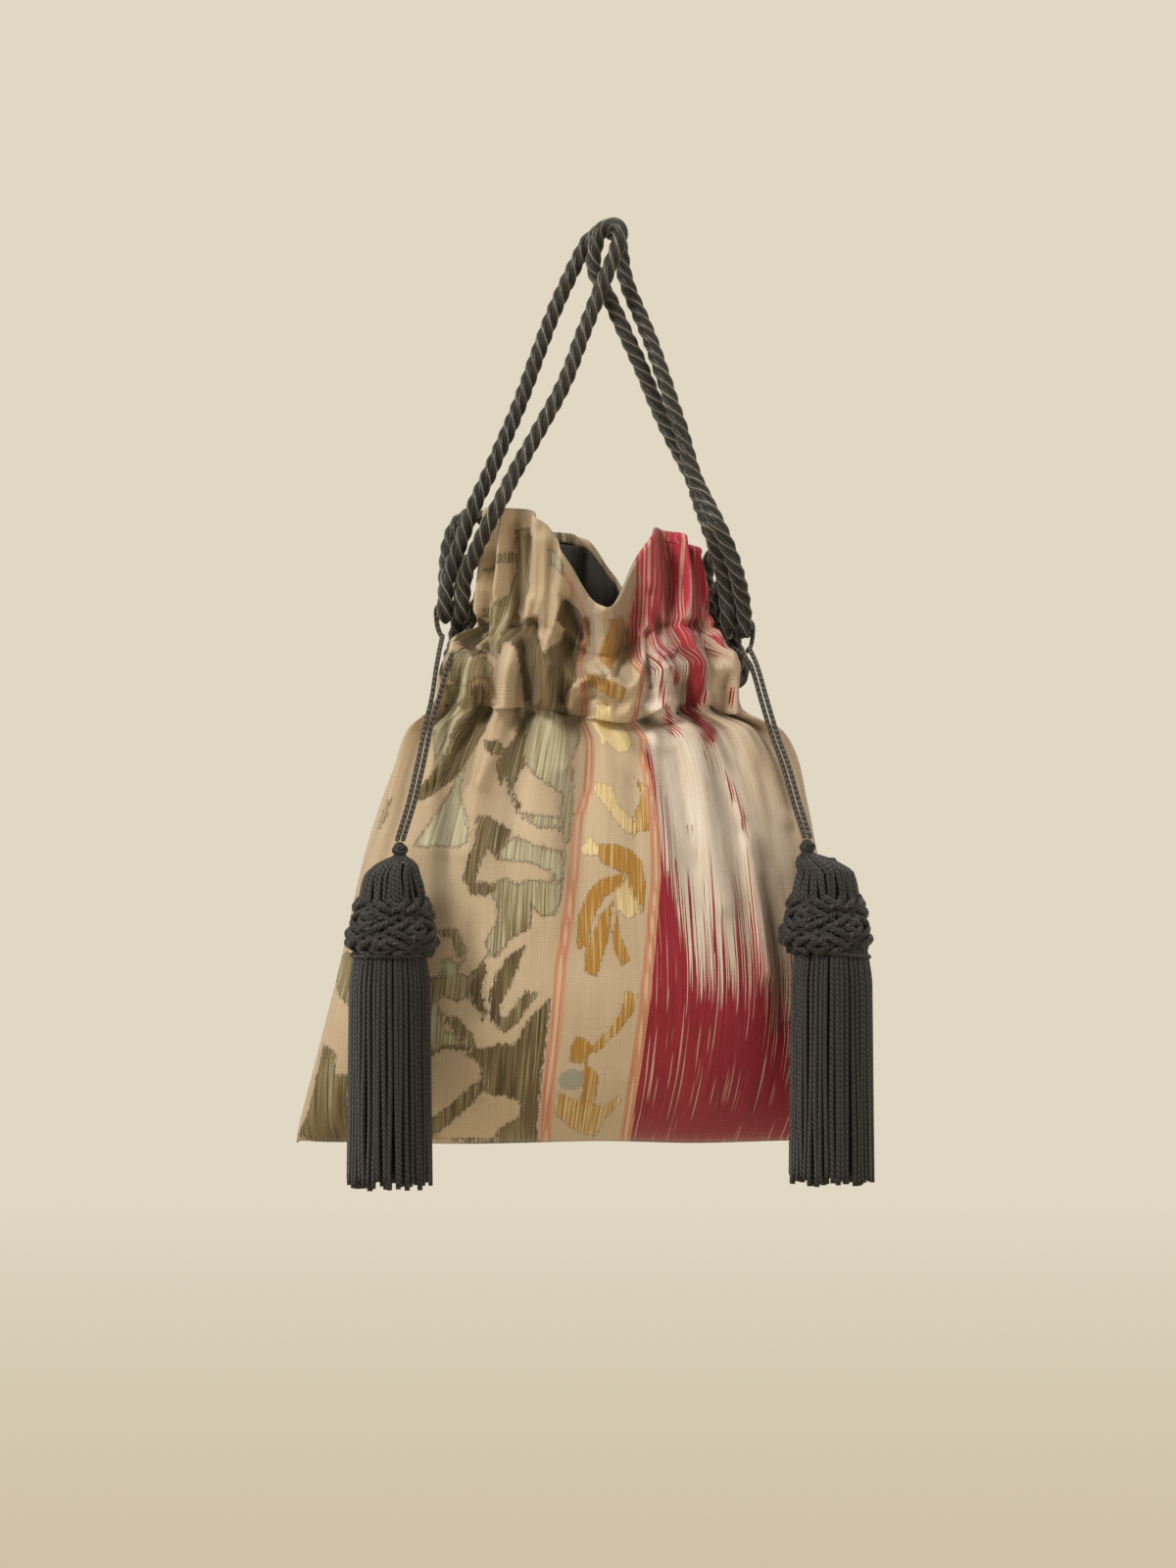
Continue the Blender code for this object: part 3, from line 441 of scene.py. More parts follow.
# the cloth's woven pattern
leafShapes = (  # tone, 0 dark olive to 1 pale sage, and outline of each velvet shape
    (0.3, (461, 454, 482, 500, 465, 554, 426, 623, 384, 677, 326, 719, 303, 712, 338, 669, 384, 616, 415, 539,
    430, 454)), (0.85, (376, 454, 426, 454, 407, 539, 376, 612, 349, 643, 347, 593, 361, 524)), (0.92, (422,
    635, 407, 700, 424, 762, 427, 808, 407, 832, 361, 828, 301, 832, 309, 808, 346, 762, 384, 708, 399, 666)),
    (0.9, (564, 524, 599, 510, 637, 520, 687, 524, 680, 593, 657, 654, 667, 719, 641, 704, 591, 673, 564, 639,
    549, 635, 554, 577)), (0.15, (461, 586, 492, 581, 513, 600, 538, 570, 547, 527, 570, 547, 564, 600, 568,
    635, 542, 650, 530, 696, 551, 740, 538, 750, 522, 700, 513, 660, 503, 685, 492, 639, 503, 617, 475, 610)),
    (0.9, (541, 742, 584, 752, 637, 759, 641, 781, 591, 775, 542, 755)), (0.3, (445, 760, 472, 763, 524, 788,
    513, 815, 495, 854, 478, 831, 459, 854, 445, 892, 445, 914, 470, 909, 492, 932, 475, 943, 436, 932, 413,
    894, 429, 860, 441, 823, 445, 792)), (0.95, (513, 809, 539, 809, 584, 817, 650, 838, 645, 917, 611, 886,
    568, 863, 524, 861, 492, 852)), (0.75, (485, 909, 508, 901, 538, 915, 570, 908, 641, 917, 637, 977, 598,
    984, 570, 963, 570, 1009, 530, 1038, 501, 1078, 473, 1075, 467, 1046, 492, 992, 493, 955, 476, 940)), (0.8,
    (654, 646, 670, 646, 668, 792, 650, 823, 645, 762)), (0.5, (361, 1023, 401, 1021, 424, 1061, 415, 1093, 401,
    1069, 386, 1038, 365, 1035)), (0.8, (361, 1093, 384, 1086, 409, 1107, 393, 1132, 367, 1124)), (0.6, (330,
    1127, 369, 1136, 399, 1121, 432, 1138, 430, 1169, 399, 1186, 369, 1169, 346, 1184, 330, 1169)), (0.2, (439,
    1123, 461, 1093, 467, 1113, 453, 1159, 470, 1207, 459, 1224, 435, 1184)), (0.3, (564, 1060, 539, 1106, 525,
    1146, 501, 1184, 501, 1222, 524, 1250, 510, 1259, 480, 1224, 475, 1176, 492, 1123, 522, 1083)), (0.25, (593,
    1164, 570, 1199, 539, 1232, 513, 1262, 498, 1245, 530, 1207, 561, 1169)), (0.18, (616, 1175, 611, 1222, 605,
    1299, 598, 1376, 588, 1508, 554, 1507, 554, 1453, 545, 1422, 513, 1405, 476, 1404, 459, 1393, 472, 1361,
    445, 1324, 399, 1302, 361, 1299, 338, 1316, 329, 1298, 369, 1284, 430, 1290, 461, 1295, 499, 1290, 538,
    1282, 547, 1253, 570, 1222)), (0.3, (462, 1387, 430, 1430, 384, 1462, 347, 1493, 332, 1493, 336, 1468, 384,
    1428, 430, 1390, 455, 1368)), (0.8, (329, 1184, 355, 1190, 370, 1253, 416, 1282, 369, 1292, 338, 1307, 327,
    1268)), (0.45, (372, 1210, 401, 1222, 432, 1261, 455, 1293, 429, 1288, 399, 1255, 376, 1230)), (0.3, (499,
    1476, 547, 1459, 570, 1484, 593, 1511, 430, 1513, 338, 1503, 430, 1503, 492, 1500)), (0.35, (151, 1361, 147,
    1422, 151, 1519, 77, 1520, 34, 1500, 51, 1453, 69, 1391, 81, 1338, 92, 1290, 115, 1299, 117, 1353)), (0.6,
    (147, 1067, 167, 1092, 163, 1146, 154, 1192, 135, 1176, 121, 1138, 129, 1092)), (0.7, (247, 714, 240, 740,
    224, 781, 218, 777, 230, 739)), (0.55, (307, 1299, 330, 1315, 323, 1376, 230, 1391, 192, 1322, 253, 1268)),
    (0.02, (409, 300, 446, 288, 465, 309, 460, 341, 465, 378, 436, 390, 413, 369, 403, 332)), (0.6, (464, 276,
    511, 262, 540, 286, 502, 332, 493, 390, 473, 370, 462, 323)), (0.85, (394, 388, 427, 373, 464, 392, 484,
    415, 478, 443, 446, 433, 422, 453, 389, 443)), (0.2, (528, 313, 575, 295, 589, 351, 603, 379, 640, 351, 650,
    323, 697, 323, 702, 369, 677, 443, 650, 485, 661, 524, 603, 515, 558, 501, 547, 415, 538, 369, 529, 351,
    511, 351, 501, 381, 491, 369, 506, 332)), (0.45, (536, 91, 572, 91, 567, 160, 572, 230, 549, 286, 520, 296,
    483, 267, 520, 244, 539, 184)), (0.55, (464, 184, 492, 151, 529, 146, 538, 165, 501, 175, 469, 194)), (0.95,
    (613, 137, 651, 173, 645, 198, 617, 174)), (0.05, (645, 253, 682, 276, 708, 325, 696, 332, 650, 323, 629,
    304)),
)
goldShapes = (  # tone, 0 old gold to 1 pale gold, and outline
    (0.2, (754, 295, 785, 290, 793, 332, 776, 388, 756, 418, 732, 388, 738, 351, 753, 323)), (0.3, (697, 422,
    752, 439, 793, 462, 784, 490, 752, 476, 705, 450)), (0.95, (728, 493, 762, 499, 780, 545, 808, 587, 794,
    611, 770, 607, 753, 582, 733, 596, 718, 555)), (0.75, (720, 676, 756, 683, 777, 723, 800, 752, 816, 777,
    811, 806, 776, 785, 745, 746, 717, 700)), (0.3, (813, 669, 841, 691, 849, 739, 842, 786, 822, 786, 814, 746,
    825, 708)), (1, (684, 831, 714, 811, 739, 831, 727, 851, 690, 851)), (0.15, (726, 826, 768, 823, 799, 838,
    831, 854, 839, 908, 834, 980, 816, 946, 806, 915, 791, 886, 760, 869, 730, 858)), (0.12, (785, 891, 737,
    900, 705, 931, 684, 992, 679, 1063, 696, 1063, 719, 992, 739, 946, 783, 917)), (0.7, (791, 908, 816, 954,
    829, 984, 799, 994, 768, 963, 768, 931)), (0.12, (759, 954, 751, 1023, 740, 1092, 722, 1126, 697, 1115, 702,
    1069, 722, 1015, 737, 977)), (0.2, (774, 984, 785, 1038, 799, 1092, 785, 1106, 768, 1069, 759, 1023)),
    (0.25, (790, 1152, 816, 1169, 811, 1215, 770, 1270, 722, 1310, 716, 1296, 753, 1253, 783, 1207)), (0.12,
    (674, 1262, 708, 1275, 716, 1299, 691, 1324, 659, 1331, 667, 1299)), (0.22, (699, 1328, 727, 1353, 727,
    1401, 707, 1441, 673, 1447, 691, 1399, 691, 1361)), (0.45, (630, 1398, 676, 1421, 737, 1428, 776, 1405, 785,
    1422, 746, 1453, 723, 1505, 676, 1493, 627, 1445)),
)
medallion = {"centre": (668, 1365), "across": 30, "down": 26}
coralLines = (  # the left stripe, then the right one
    (655, 205, 690, 270, 700, 330, 690, 440, 697, 520, 706, 600, 702, 690, 682, 770, 670, 870, 658, 970, 645,
    1100, 632, 1240, 615, 1390, 603, 1510), (812, 235, 800, 300, 812, 400, 825, 470, 832, 620, 852, 720, 862,
    800, 860, 900, 850, 1010, 838, 1140, 825, 1260, 806, 1400, 790, 1510),
)
crimsonEdge = (
    845, 640, 870, 730, 885, 830, 905, 930, 925, 1030, 945, 1085, 1010, 1115, 1065, 1110, 1095, 1060, 1115,
    1130, 1150, 1240, 1185, 1150, 1230, 980,
)
crimsonRuns = (  # width and places of the loose crimson stripes
    (84, (938, 325, 952, 390, 958, 435, 953, 480)), (52, (953, 480, 964, 532, 981, 577)), (17, (978, 572, 1010,
    640, 1040, 700, 1088, 808)), (16, (977, 329, 989, 362, 995, 390)), (24, (873, 366, 867, 411, 879, 467, 893,
    516, 898, 565)), (24, (897, 411, 912, 443)), (20, (926, 321, 906, 370, 877, 390)), (12, (857, 354, 857,
    394)), (5, (1023, 455, 1039, 484)), (8, (970, 532, 979, 585, 1003, 654)), (6, (960, 480, 975, 620, 985,
    690)), (5, (950, 780, 975, 930, 1000, 1060)), (5, (1025, 880, 1050, 980, 1060, 1060)), (5, (905, 860, 925,
    960)),
)


# distance inside an outline, below zero outside it
def shapeField(u, v, outline):
    inside = np.zeros(u.shape, bool)
    for (ax, ay), (bx, by) in zip(outline, np.roll(outline, -1, axis=0)):
        inside ^= ((ay > v) != (by > v)) & (u < (bx - ax) * (v - ay) / (by - ay + 1e-9) + ax)
    away = lineDistance(u, v, [*outline, outline[0]])
    return np.where(inside, away, -away)


# millimetres up the flat cloth
def clothHeight(at):
    return np.where(at <= 1, 178 * at, np.where(at <= 2, 178 + 36 * (at - 1), 214 + 46 * (at - 2)))


# the woven pattern as distances on the flat cloth
def patternFields(u, v, spots, back):
    mm = drawing["step"] * 1000

    def placed(numbers):
        return np.array([spots(place) for place in pairs(numbers)])

    def crossing(line, axis):
        order = np.argsort(line[:, axis])
        return np.interp((u, v)[axis], line[order, axis], line[order, 1 - axis])

    warp = (v + 62.0) % 262.0 if back else v  # the back is cut from the same cloth, further along
    fields = {name: np.full(u.shape, -30.0) for name in ("leaf", "gold")}
    fields["leafTone"], fields["goldTone"] = np.zeros(u.shape), np.zeros(u.shape)
    for kind, shapes in (("leaf", leafShapes), ("gold", goldShapes)):
        for tone, outline in shapes:
            field = shapeField(u, warp, placed(outline))
            fields[kind + "Tone"] = np.where(field > fields[kind], tone, fields[kind + "Tone"])
            fields[kind] = np.maximum(fields[kind], field)
    centre, down = spots(medallion["centre"]), medallion["down"] * mm
    reach = np.hypot((u - centre[0]) / (medallion["across"] * mm), (warp - centre[1]) / down)
    fields["medallion"] = (1 - reach) * down
    # the band between the two stripes keeps the gold, its left the leaves, its right the satin
    left, right = (placed(line) for line in coralLines)
    fields["coral"] = np.minimum(lineDistance(u, v, left), lineDistance(u, v, right))
    fields["satin"] = u - crossing(right, 1) - 1.9
    fields["leaf"] = np.minimum(fields["leaf"], crossing(left, 1) - 2.6 - u)
    ruffle = (v - 212.0) * 1.5 - 6 + 10 * np.sin(u * 0.35)
    fields["crimson"] = np.maximum(crossing(placed(crimsonEdge), 0) - v, ruffle)
    fields["run"] = np.full(u.shape, -30.0)
    for width, run in crimsonRuns:
        fields["run"] = np.maximum(fields["run"], width * mm * 0.5 - lineDistance(u, v, placed(run)))
    return fields


patternPlaces = {}  # the front's cloth as it is seen; the back's pattern is placed by it too


# one side of the pouch, from its bottom seam over the rolled rim to the hem inside
def makeCloth(name, front, material, nodes):
    even = np.linspace(0, 1, cloth["columns"])
    way = (1 - np.cos(math.pi * even)) / 2 * 0.35 + even * 0.65  # columns stand closer near the ends
    way = way if front else way[::-1]
    roll = cloth["rollRadius"]
    turns = np.linspace(0, math.pi, 8)[1:]
    creases[front].clear()
    rows = [clothPoint(np.full(way.shape, at), way, front) for at in levelRows]
    heights = list(clothHeight(levelRows))
    for turn in turns:
        row = clothPoint(np.full(way.shape, 3.0), way, front, roll * (1 - math.cos(turn)))
        row[:, 2] += roll * math.sin(turn)
        rows.append(row)
        heights.append(260 + roll * 1000 * turn)
    for share in (0.5, 1.0):
        row = clothPoint(np.full(way.shape, 3.0), way, front, 2 * roll)
        row[:, 2] -= cloth["hem"] * share
        rows.append(row)
        heights.append(266 + cloth["hem"] * 1000 * share)
    grid = np.array(rows)
    levels = np.concatenate([levelRows, np.full(len(rows) - len(levelRows), 3.0)])
    fine = np.linspace(0, 1, 400)
    u = []
    for at in levels:
        x, y = sectionPoint(np.full(fine.shape, at), fine, front)
        arc = np.concatenate([[0], np.cumsum(np.hypot(np.diff(x), np.diff(y)))])
        u.append(cloth["flatWidth"] * (np.interp(way, fine, arc / arc[-1]) - 0.5))
    u, v = np.array(u), np.repeat(np.array(heights)[:, None], len(way), axis=1)
    if front:
        across, down = onDrawing(grid[:len(levelRows)])
        patternPlaces["across"], patternPlaces["down"] = across, down
        patternPlaces["u"], patternPlaces["v"] = u[:len(levelRows)], v[:len(levelRows)]

    def spots(place):
        away = (patternPlaces["across"] - place[0]) ** 2 + (patternPlaces["down"] - place[1]) ** 2
        nearest = np.unravel_index(np.argmin(away), away.shape)
        return np.array([patternPlaces["u"][nearest], patternPlaces["v"][nearest]])

    fields = patternFields(u, v, spots, not front)
    stands = np.array(creases[front])
    around = (np.roll(stands, 7, axis=1) + np.roll(stands, -7, axis=1)) / 2
    # painted shade: the crease field is high where the cloth lies below its neighbours, to darken the colour there
    fields["crease"] = np.clip((around - stands) / 0.0020, 0, 1) * np.clip(np.array(levels)[:, None] * 2, 0, 1)
    fields["ruffle"] = np.clip((v - 200.0) / 14, 0, 1)
    uvs = np.stack([u, v], axis=-1).reshape(-1, 2) / 1000
    piece = makePiece(name, grid.reshape(-1, 3), gridFaces(len(rows), len(way)), uvs, material, "pouch",
                      {field: values.ravel() for field, values in fields.items()})
    thicken(piece, cloth["thickness"])
    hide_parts(*nodes)
    return piece


# materials
# voided velvet and silk brocade: dull ribbed ground, raised cut pile, satin stripes with strie
brocade, tree, shader = newMaterial("voidedVelvetBrocade", 0.7, 0.35)
mm = millimetres(tree)
warpLines = streaks(mm, (1.5, 0.03), 3.0, 4.0)  # strie along the warp, about 0.7 mm apart
strie = mapRange(warpLines, 0.3, 0.7)
wideLines = streaks(mm, (0.35, 0.012), 2.0, 11.0)
patches = streaks(mm, (0.045, 0.03), 2.0, 31.0)
stepped = streaks(mm, (1.5, 0.32), 3.0, 47.0)  # pattern edges step along the warp
grit = streaks(mm, (2.2, 2.2), 2.0, 60.0)
edge = mapRange(stepped, 0.3, 0.7, -1.1, 1.1)
leafEdge = plus(attributeOf(tree, "leaf"), edge)
leafMask = mapRange(leafEdge, -0.12, 0.22)
rim = mapRange(mathOf("ABSOLUTE", leafEdge, 0.0), 0.1, 0.9, 1.0, 0.0)
goldEdge = plus(attributeOf(tree, "gold"), times(edge, 0.6))
goldMask = mapRange(goldEdge, -0.12, 0.22)
medallionEdge = plus(attributeOf(tree, "medallion"), times(edge, 0.5))
medallionMask = mapRange(medallionEdge, -0.2, 0.2)
# weft ribs, drawn at 0.75 mm so that they show
ribWave = {"wave_type": "BANDS", "bands_direction": "Y", "Scale": 0.42, "Distortion": 0.6, "Detail": 1.0,
           "Detail Scale": 0.4}
ribs = addNode(tree, "ShaderNodeTexWave", ribWave, Vector=mm).outputs["Fac"]

ground = mixColour(strie, "#D0B591", "#DCC5A2")
ground = mixColour(mapRange(patches, 0.3, 0.75, 0.0, 0.35), ground, "#BB9D76")
ground = mixColour(mapRange(ribs, 0.0, 1.0, 0.22, 0.0), ground, "#8C7350")
tone = plus(attributeOf(tree, "leafTone"), mapRange(warpLines, 0.3, 0.7, -0.5, 0.5))
tone = plus(tone, mapRange(patches, 0.3, 0.7, -0.2, 0.2))
ramp = addNode(tree, "ShaderNodeValToRGB", {}, Fac=tone)
stops = ((0.0, "#50432A"), (0.25, "#75643F"), (0.5, "#98875D"), (0.75, "#B5AB84"), (1.0, "#D2CAA6"))
ramp.color_ramp.elements.remove(ramp.color_ramp.elements[1])
for place, colour in stops:
    stop = ramp.color_ramp.elements[0] if place == 0 else ramp.color_ramp.elements.new(place)
    stop.color = toLinear(colour)
leaf = mixColour(mapRange(wideLines, 0.42, 0.6, 0.0, 0.45), ramp.outputs[0], "#7A5E3C")
woven = mixColour(leafMask, ground, leaf)
goldTone = plus(attributeOf(tree, "goldTone"), mapRange(warpLines, 0.32, 0.68, -0.6, 0.45))
gold = mixColour(mapRange(goldTone, 0.1, 0.8), "#B07C2A", "#E9D198")
# painted shade: a dark line round each velvet shape stands for the shadow at the pile's edge
outline = times(rim, 0.4)
woven = mixColour(outline, woven, "#5C4C31")
woven = mixColour(goldMask, woven, gold)
woven = mixColour(medallionMask, woven, "#A79F8B")
coralPlace = attributeOf(tree, "coral")
coralWide = mapRange(coralPlace, 2.1, 2.6, 1.0, 0.0)
coralLine = times(coralWide, mapRange(coralPlace, 0.45, 0.75))
coral = mixColour(strie, "#BF7452", "#DDA684")
woven = mixColour(coralWide, woven, "#DDBB97")
woven = mixColour(coralLine, woven, coral)

satinMask = mapRange(attributeOf(tree, "satin"), 0.0, 0.25)
ivory = mixColour(strie, "#F3E4D3", "#DFCBB2")
ivory = mixColour(mapRange(patches, 0.45, 0.75, 0.0, 0.45), ivory, "#C9B08C")
# the satin turns tan towards its right side: partly its own beige-gold, partly painted shade of the folds there
tanAndShadePlace = plus(attributeOf(tree, "satin"), mapRange(wideLines, 0.3, 0.7, -9.0, 9.0))
tanAndShade = mapRange(tanAndShadePlace, 26.0, 62.0, 0.0, 0.62)
ivory = mixColour(tanAndShade, ivory, "#B5946B")
crimson = mixColour(strie, "#7A0F1B", "#B02639")
dyeEdge = mapRange(streaks(mm, (0.16, 0.004), 1.0, 77.0), 0.3, 0.7, -4.0, 22.0)
dyeLines = streaks(mm, (2.1, 0.005), 1.0, 7.0)
dyeEdge = plus(dyeEdge, mapRange(dyeLines, 0.3, 0.7, -36.0, 30.0))
dyeMask = mapRange(plus(attributeOf(tree, "crimson"), dyeEdge), -1.5, 1.5)
loose = mapRange(streaks(mm, (1.1, 0.012), 1.0, 57.0), 0.3, 0.7, -4.2, 2.2)
runMask = mapRange(plus(attributeOf(tree, "run"), loose), -0.15, 0.25)
pins = mapRange(streaks(mm, (1.0, 0.024), 1.0, 91.0), 0.62, 0.66)
crimson = mixColour(times(attributeOf(tree, "ruffle"), 0.62), crimson, "#D24653")
gathered = mapRange(streaks(mm, (0.75, 0.006), 2.0, 17.0), 0.56, 0.60)
pins = mathOf("MAXIMUM", pins, times(gathered, attributeOf(tree, "ruffle")))
pins = times(pins, 0.75)
redShare = mathOf("MAXIMUM", dyeMask, runMask)
red = mixColour(pins, crimson, "#D9B7A0")
satin = mixColour(redShare, ivory, red)
colour = mixColour(satinMask, woven, satin)
worn = mapRange(grit, 0.66, 0.8, 0.0, 0.25)
colour = mixColour(worn, colour, "#D8C6A8")
# painted shade: the colour darkens in the valleys of the folds, where shade falls
shadowed = mixColour(0.62, colour, "#4A3A26")
colour = mixColour(times(attributeOf(tree, "crease"), 0.56), colour, shadowed)
tree.links.new(colour, shader.inputs["Base Color"])
shine = times(satinMask, -0.28)
shine = plus(mapRange(warpLines, 0.2, 0.8, 0.82, 0.66), shine)
tree.links.new(mathOf("SUBTRACT", shine, times(goldMask, 0.15)), shader.inputs["Roughness"])
shader.inputs["Sheen Weight"].default_value = 0.25
shader.inputs["Sheen Roughness"].default_value = 0.4
pile = mathOf("MAXIMUM", leafMask, times(goldMask, 0.8))
pile = plus(times(pile, 0.65), times(warpLines, 0.10))
relief = plus(pile, times(ribs, 0.10))
relief = plus(relief, times(grit, 0.10))
addBump(tree, shader, relief, 0.8, 0.001)

# plain woven charcoal cotton, faint cross threads
lining, tree, shader = newMaterial("charcoalCottonLining", 0.8, 0.25)
mm = millimetres(tree)
threads = streaks(mm, (2.5, 0.5), 2.0, 5.0)
cross = streaks(mm, (0.5, 2.5), 2.0, 15.0)
weave = plus(threads, cross)
tree.links.new(mixColour(mapRange(weave, 0.6, 1.4), "#2F2B27", "#4B463F"), shader.inputs["Base Color"])
addBump(tree, shader, weave, 0.4, 0.0004)


def cordMaterial(name, dark, light, roughness, direction, depth):
    material, tree, shader = newMaterial(name, roughness, 0.45)
    mm = millimetres(tree)
    settings = {"wave_type": "BANDS", "bands_direction": direction, "Scale": 0.30, "Distortion": 1.0,
                "Detail": 2.0, "Detail Scale": 0.5}
    threads = addNode(tree, "ShaderNodeTexWave", settings, Vector=mm).outputs["Fac"]
    uneven = streaks(mm, (0.8, 0.15), 2.0, 3.0)
    share = plus(times(threads, 0.55), times(uneven, 0.45))
    colour = mixColour(mapRange(share, 0.25, 0.75), dark, light)
    # accent: the braid's paler strands are its own colour; on the rope it paints the highlight along each strand's
    # crest
    colour = mixColour(attributeOf(tree, "accent"), colour, "#8F8472")
    tree.links.new(colour, shader.inputs["Base Color"])
    addBump(tree, shader, share, 0.8, depth)
    shader.inputs["Sheen Weight"].default_value = 0.1
    return material


# twisted rayon rope: satin strands, each with a thin pale line along its crest that is a painted highlight
ropeSatin = cordMaterial("twistedRayonRope", "#18140F", "#40382B", 0.40, "X", 0.0006)
# braided rayon cord: two paler strands of the four give it its speckle
thinBraid = cordMaterial("braidedRayonCord", "#1D1A16", "#423B32", 0.45, "X", 0.0003)
# cotton chainette: slanting stitches make each skirt strand look twisted
chainette = cordMaterial("cottonChainette", "#110F0E", "#3D3733", 0.5, "DIAGONAL", 0.0010)
# the same chainette knotted: a darker, browner black in the collar and the knot
knotted = cordMaterial("knottedChainette", "#0F0D0C", "#39322B", 0.5, "DIAGONAL", 0.0008)


# ropes and cords
def splineThrough(points, step, closed=False):
    points = [Vector(p) for p in points]
    ring = [points[-1], *points, points[0], points[1]]
    if not closed:
        ring = [2 * points[0] - points[1], *points, 2 * points[-1] - points[-2]]
    fine = []
    for a, b, c, d in zip(ring, ring[1:], ring[2:], ring[3:]):
        t = [0.0]
        for first, second in ((a, b), (b, c), (c, d)):
            t.append(t[-1] + max((second - first).length, 1e-6) ** 0.5)
        for i in range(step):
            s = t[1] + (t[2] - t[1]) * i / step
            ab = (t[1] - s) / (t[1] - t[0]) * a + (s - t[0]) / (t[1] - t[0]) * b
            bc = (t[2] - s) / (t[2] - t[1]) * b + (s - t[1]) / (t[2] - t[1]) * c
            cd = (t[3] - s) / (t[3] - t[2]) * c + (s - t[2]) / (t[3] - t[2]) * d
            abc = (t[2] - s) / (t[2] - t[0]) * ab + (s - t[0]) / (t[2] - t[0]) * bc
            bcd = (t[3] - s) / (t[3] - t[1]) * bc + (s - t[1]) / (t[3] - t[1]) * cd
            fine.append((t[2] - s) / (t[2] - t[1]) * abc + (s - t[1]) / (t[2] - t[1]) * bcd)
    if not closed:
        fine.append(ring[-2])
    return fine


def evenPoints(points, gap):
    data = np.array([tuple(p) for p in points])
    length = np.concatenate([[0], np.cumsum(np.linalg.norm(np.diff(data, axis=0), axis=1))])
    count = max(4, int(length[-1] / gap))
    at = np.linspace(0, length[-1], count + 1)
    return np.stack([np.interp(at, length, data[:, i]) for i in range(3)], axis=-1), at


# directions along and across a route, without twist
def framesAlong(points):
    along = np.gradient(points, axis=0)
    along /= np.linalg.norm(along, axis=1)[:, None]
    side = np.zeros_like(points)
    start = np.cross(along[0], (0.0, 0.0, 1.0))
    if np.linalg.norm(start) < 1e-3:
        start = np.cross(along[0], (1.0, 0.0, 0.0))
    side[0] = start / np.linalg.norm(start)
    for i in range(1, len(points)):
        s = side[i - 1] - along[i] * (side[i - 1] @ along[i])
        side[i] = s / np.linalg.norm(s)
    return along, side, np.cross(along, side)


def tube(points, radius, sides, shift=0.0, accent=0.0):
    points = np.asarray(points, float)
    radius = np.broadcast_to(radius, len(points))
    along, side, up = framesAlong(points)
    turn = np.linspace(0, math.tau, sides, endpoint=False)
    ring = side[:, None] * np.cos(turn)[None, :, None] + up[:, None] * np.sin(turn)[None, :, None]
    verts = (points[:, None] + ring * radius[:, None, None]).reshape(-1, 3)
    length = np.concatenate([[0], np.cumsum(np.linalg.norm(np.diff(points, axis=0), axis=1))]) + shift
    uvs = np.stack([np.broadcast_to(turn * radius.mean() + shift * 0.37, (len(points), sides)),
                    np.broadcast_to(length[:, None], (len(points), sides))], axis=-1).reshape(-1, 2)
    index = np.arange(len(points) * sides).reshape(len(points), sides)
    after = np.roll(index, -1, axis=1)
    faces = np.stack([index[:-1], after[:-1], after[1:], index[1:]], axis=-1).reshape(-1, 4).tolist()
    faces.append(index[0][::-1].tolist())
    faces.append(index[-1].tolist())
    return verts, faces, uvs, np.full(len(verts), accent)


# joins tubes into one piece
def gather(parts):
    verts, faces, uvs, accents, start = [], [], [], [], 0
    for v, f, t, a in parts:
        verts.append(v)
        uvs.append(t)
        accents.append(a)
        faces += [[i + start for i in face] for face in f]
        start += len(v)
    return np.concatenate(verts), faces, np.concatenate(uvs), {"accent": np.concatenate(accents)}


# points along a route, the two directions across it and the turn of each strand that winds round it
def windings(route, gap, strands, pitch):
    points, at = evenPoints(route, gap)
    _, side, up = framesAlong(points)
    turns = [math.tau * (k / strands) + math.tau * at / pitch for k in range(strands)]
    return points, side, up, turns


def twisted(route, strands, offset, radius, pitch, sides, gap, highlightRadius=0.0):
    points, side, up, turns = windings(route, gap, strands, pitch)
    parts = []
    for k, turn in enumerate(turns):
        out = side * np.cos(turn)[:, None] + up * np.sin(turn)[:, None]
        parts.append(tube(points + offset * out, radius, sides, shift=k * 0.31))
        # painted highlight: a thin pale tube runs along each strand's crest
        if highlightRadius:
            parts.append(tube(points + (offset + radius - highlightRadius * 0.5) * out, highlightRadius, 5, accent=1.0))
    return gather(parts)


# four strands that weave in a flat figure of eight
def braided(route, width, depth, radius, pitch, sides, gap):
    points, side, up, turns = windings(route, gap, 4, pitch)
    parts = []
    for k, turn in enumerate(turns):
        centre = points + side * (width * np.sin(turn))[:, None] + up * (depth * np.sin(2 * turn))[:, None]
        parts.append(tube(centre, radius, sides, shift=k * 0.7, accent=0.35 * (k % 2)))
    return gather(parts)


